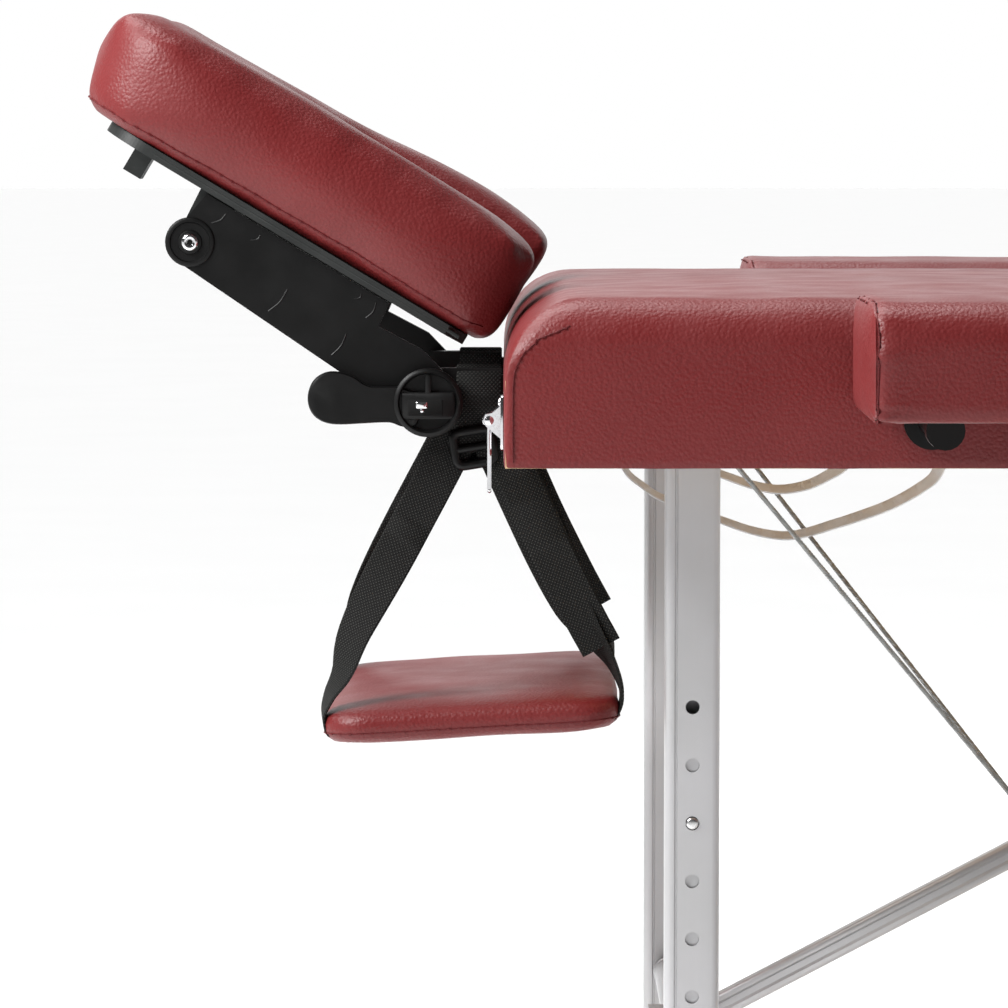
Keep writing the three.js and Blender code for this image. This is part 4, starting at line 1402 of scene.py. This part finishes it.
def sling_shelf():
    """A thin cushion whose faces swell in the middle and whose rim is softly rounded."""
    low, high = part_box("sling_shelf")
    rise = (high.z - low.z - SHELF_THICKNESS - SHELF_EASE) / (high.x - low.x)
    mid_x = (low.x + high.x) / 2
    half_x = (high.x - low.x) / 2
    half_y = (high.y - low.y) / 2

    def placed(pairs, height):
        level = low.z - SHELF_SAG + SHELF_WAIST + height
        return [Vector((mid_x + x, y, level + (mid_x + x - low.x) * rise)) for x, y in pairs]

    rings = []
    for inset, height in SHELF_PROFILE:
        radius = min(SHELF_CORNER, half_x - inset - 0.001)
        rings.append(placed(plan_outline(half_x - inset, half_y - inset, radius, 26, 40), height))
    build = Build()
    build.loft(rings)
    piece = build.make("sling_pad", LEATHER, None, 70)
    ripple(piece, 0.05, 0.0008, 5.2)
    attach(piece, "sling")
    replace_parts(piece, "sling_shelf")
    path = placed(plan_outline(half_x, half_y, SHELF_CORNER, 40, 60), -0.0066)
    sew("sling_pad_seam", piece, [path + path[:1]], "sling")


# ---- Stage --------------------------------------------------------------------------------------
FLOOR_REACH = 60.0


FLOOR_POINTS = 64
FLOOR_RINGS = (FLOOR_REACH, 12.0, 4.0, 1.0)


def stage():
    """A wide pale floor that runs out to the horizon on every side."""
    across = Vector((1, 0, 0))
    up = Vector((0, 1, 0))
    build = Build()
    build.loft([circle(Vector(), across, up, reach, FLOOR_POINTS) for reach in FLOOR_RINGS], caps=False)
    centre = len(build.verts)
    first = centre - FLOOR_POINTS
    build.verts.append(Vector())
    build.faces.extend((first + i, first + (i + 1) % FLOOR_POINTS, centre) for i in range(FLOOR_POINTS))
    floor = build.plain("floor")
    paint = Paint("pale_floor", (0.95, 0.95, 0.95), 0.9)
    paint.color(paint.ramp(paint.noise(paint.place(), 3, 2), ((0.2, 0.94), (0.8, 0.96))))
    paint.set("Specular IOR Level", 0.1)
    floor.data.materials.append(paint.material)


def add_light(name, kind, energy, aim):
    """A light of that kind, turned to shine along aim."""
    light = bpy.data.objects.new(name, bpy.data.lights.new(name, kind))
    bpy.context.scene.collection.objects.link(light)
    light.data.energy = energy
    light.rotation_euler = aim.to_track_quat("-Z", "Y").to_euler()
    return light


def lamp(name, where, target, size, power):
    light = add_light(name, "AREA", power, Vector(target) - Vector(where))
    light.data.shape = "RECTANGLE"
    light.data.size, light.data.size_y = size
    light.location = where
    light.visible_camera = False


SKY_EDGE = (0.10, 0.26)
SKY_DIM = 0.06
SKY_NEAR_FADE = -0.6


def sky():
    """Dim overhead and on the near side, and white near the horizon elsewhere."""
    world = bpy.data.worlds.new("studio")
    world.use_nodes = True
    new = world.node_tree.nodes.new
    link = world.node_tree.links.new
    place = new("ShaderNodeTexCoord")
    split = new("ShaderNodeSeparateXYZ")
    nearer = new("ShaderNodeMath")
    nearer.operation = "MINIMUM"
    nearer.inputs[1].default_value = 0.0
    level = new("ShaderNodeMath")
    level.operation = "MULTIPLY_ADD"
    level.inputs[1].default_value = SKY_NEAR_FADE
    ramp = new("ShaderNodeValToRGB")
    for element, position, tone in zip(ramp.color_ramp.elements, SKY_EDGE, (1, SKY_DIM)):
        element.position = position
        element.color = (tone, tone, tone, 1)
    link(place.outputs["Generated"], split.inputs["Vector"])
    link(split.outputs["Y"], nearer.inputs[0])
    link(nearer.outputs["Value"], level.inputs[0])
    link(split.outputs["Z"], level.inputs[2])
    link(level.outputs["Value"], ramp.inputs["Fac"])
    background = world.node_tree.nodes["Background"]
    link(ramp.outputs["Color"], background.inputs["Color"])
    background.inputs["Strength"].default_value = 1.0
    bpy.context.scene.world = world


def sun(name, direction, strength, softness):
    light = add_light(name, "SUN", strength, -Vector(direction))
    light.data.angle = math.radians(softness)


def lights():
    sky()
    sun("overhead", (-0.3, 0.4, 1.0), 3.35, 50)
    lamp("key", (HEAD_X - 1.25, -0.9, 1.8), (HEAD_X, 0, 0.66), (0.9, 0.9), 68)
    lamp("rim", (HEAD_X + 0.2, 3.2, 1.75), (HEAD_X, 0, 0.65), (3.4, 0.9), 17)
    view = bpy.context.scene.view_settings
    view.view_transform = "Standard"
    view.look = "None"


# ---- Everything in order ------------------------------------------------------------------------
for end in ENDS:
    bracing_cable(end)
    table_cushion(end)
    leg_set(end)
    crossbar(end)
    for which in ("lower", "upper"):
        strut(end, which)

# each band's run along its length, and its drop as a share of the whole drop
BAND_ARCS = {
    "band_long": ((0.0, 0.0), (0.006, 0.3), (0.02, 0.56), (0.087, 0.69), (0.15, 0.762), (0.32, 0.886),
                  (0.41, 0.945), (0.5, 0.973), (0.57, 0.952), (0.64, 0.91), (0.716, 0.8625),
                  (0.818, 0.787), (0.908, 0.6875), (0.955, 0.6), (0.985, 0.4), (1.0, 0.0)),
    "band_short": ((0.0, 0.0), (0.006, 0.45), (0.03, 0.68), (0.12, 0.76), (0.24, 0.822), (0.4, 0.9),
                   (0.55, 0.935), (0.7, 0.9), (0.82, 0.82), (0.91, 0.734), (0.98, 0.58), (1.0, 0.0)),
}
for band, arc in BAND_ARCS.items():
    elastic(band, arc)

face_cushion()
sling_shelf()
sling_parts()
cam_lever()
platform_details()
for word, side in SIDES:
    armrest(word, side)
    arm_details(word, side)
    latch_hook(word)
    latch_plates(word)
    latch_rivets(word)
kept_nodes()
stage()
lights()
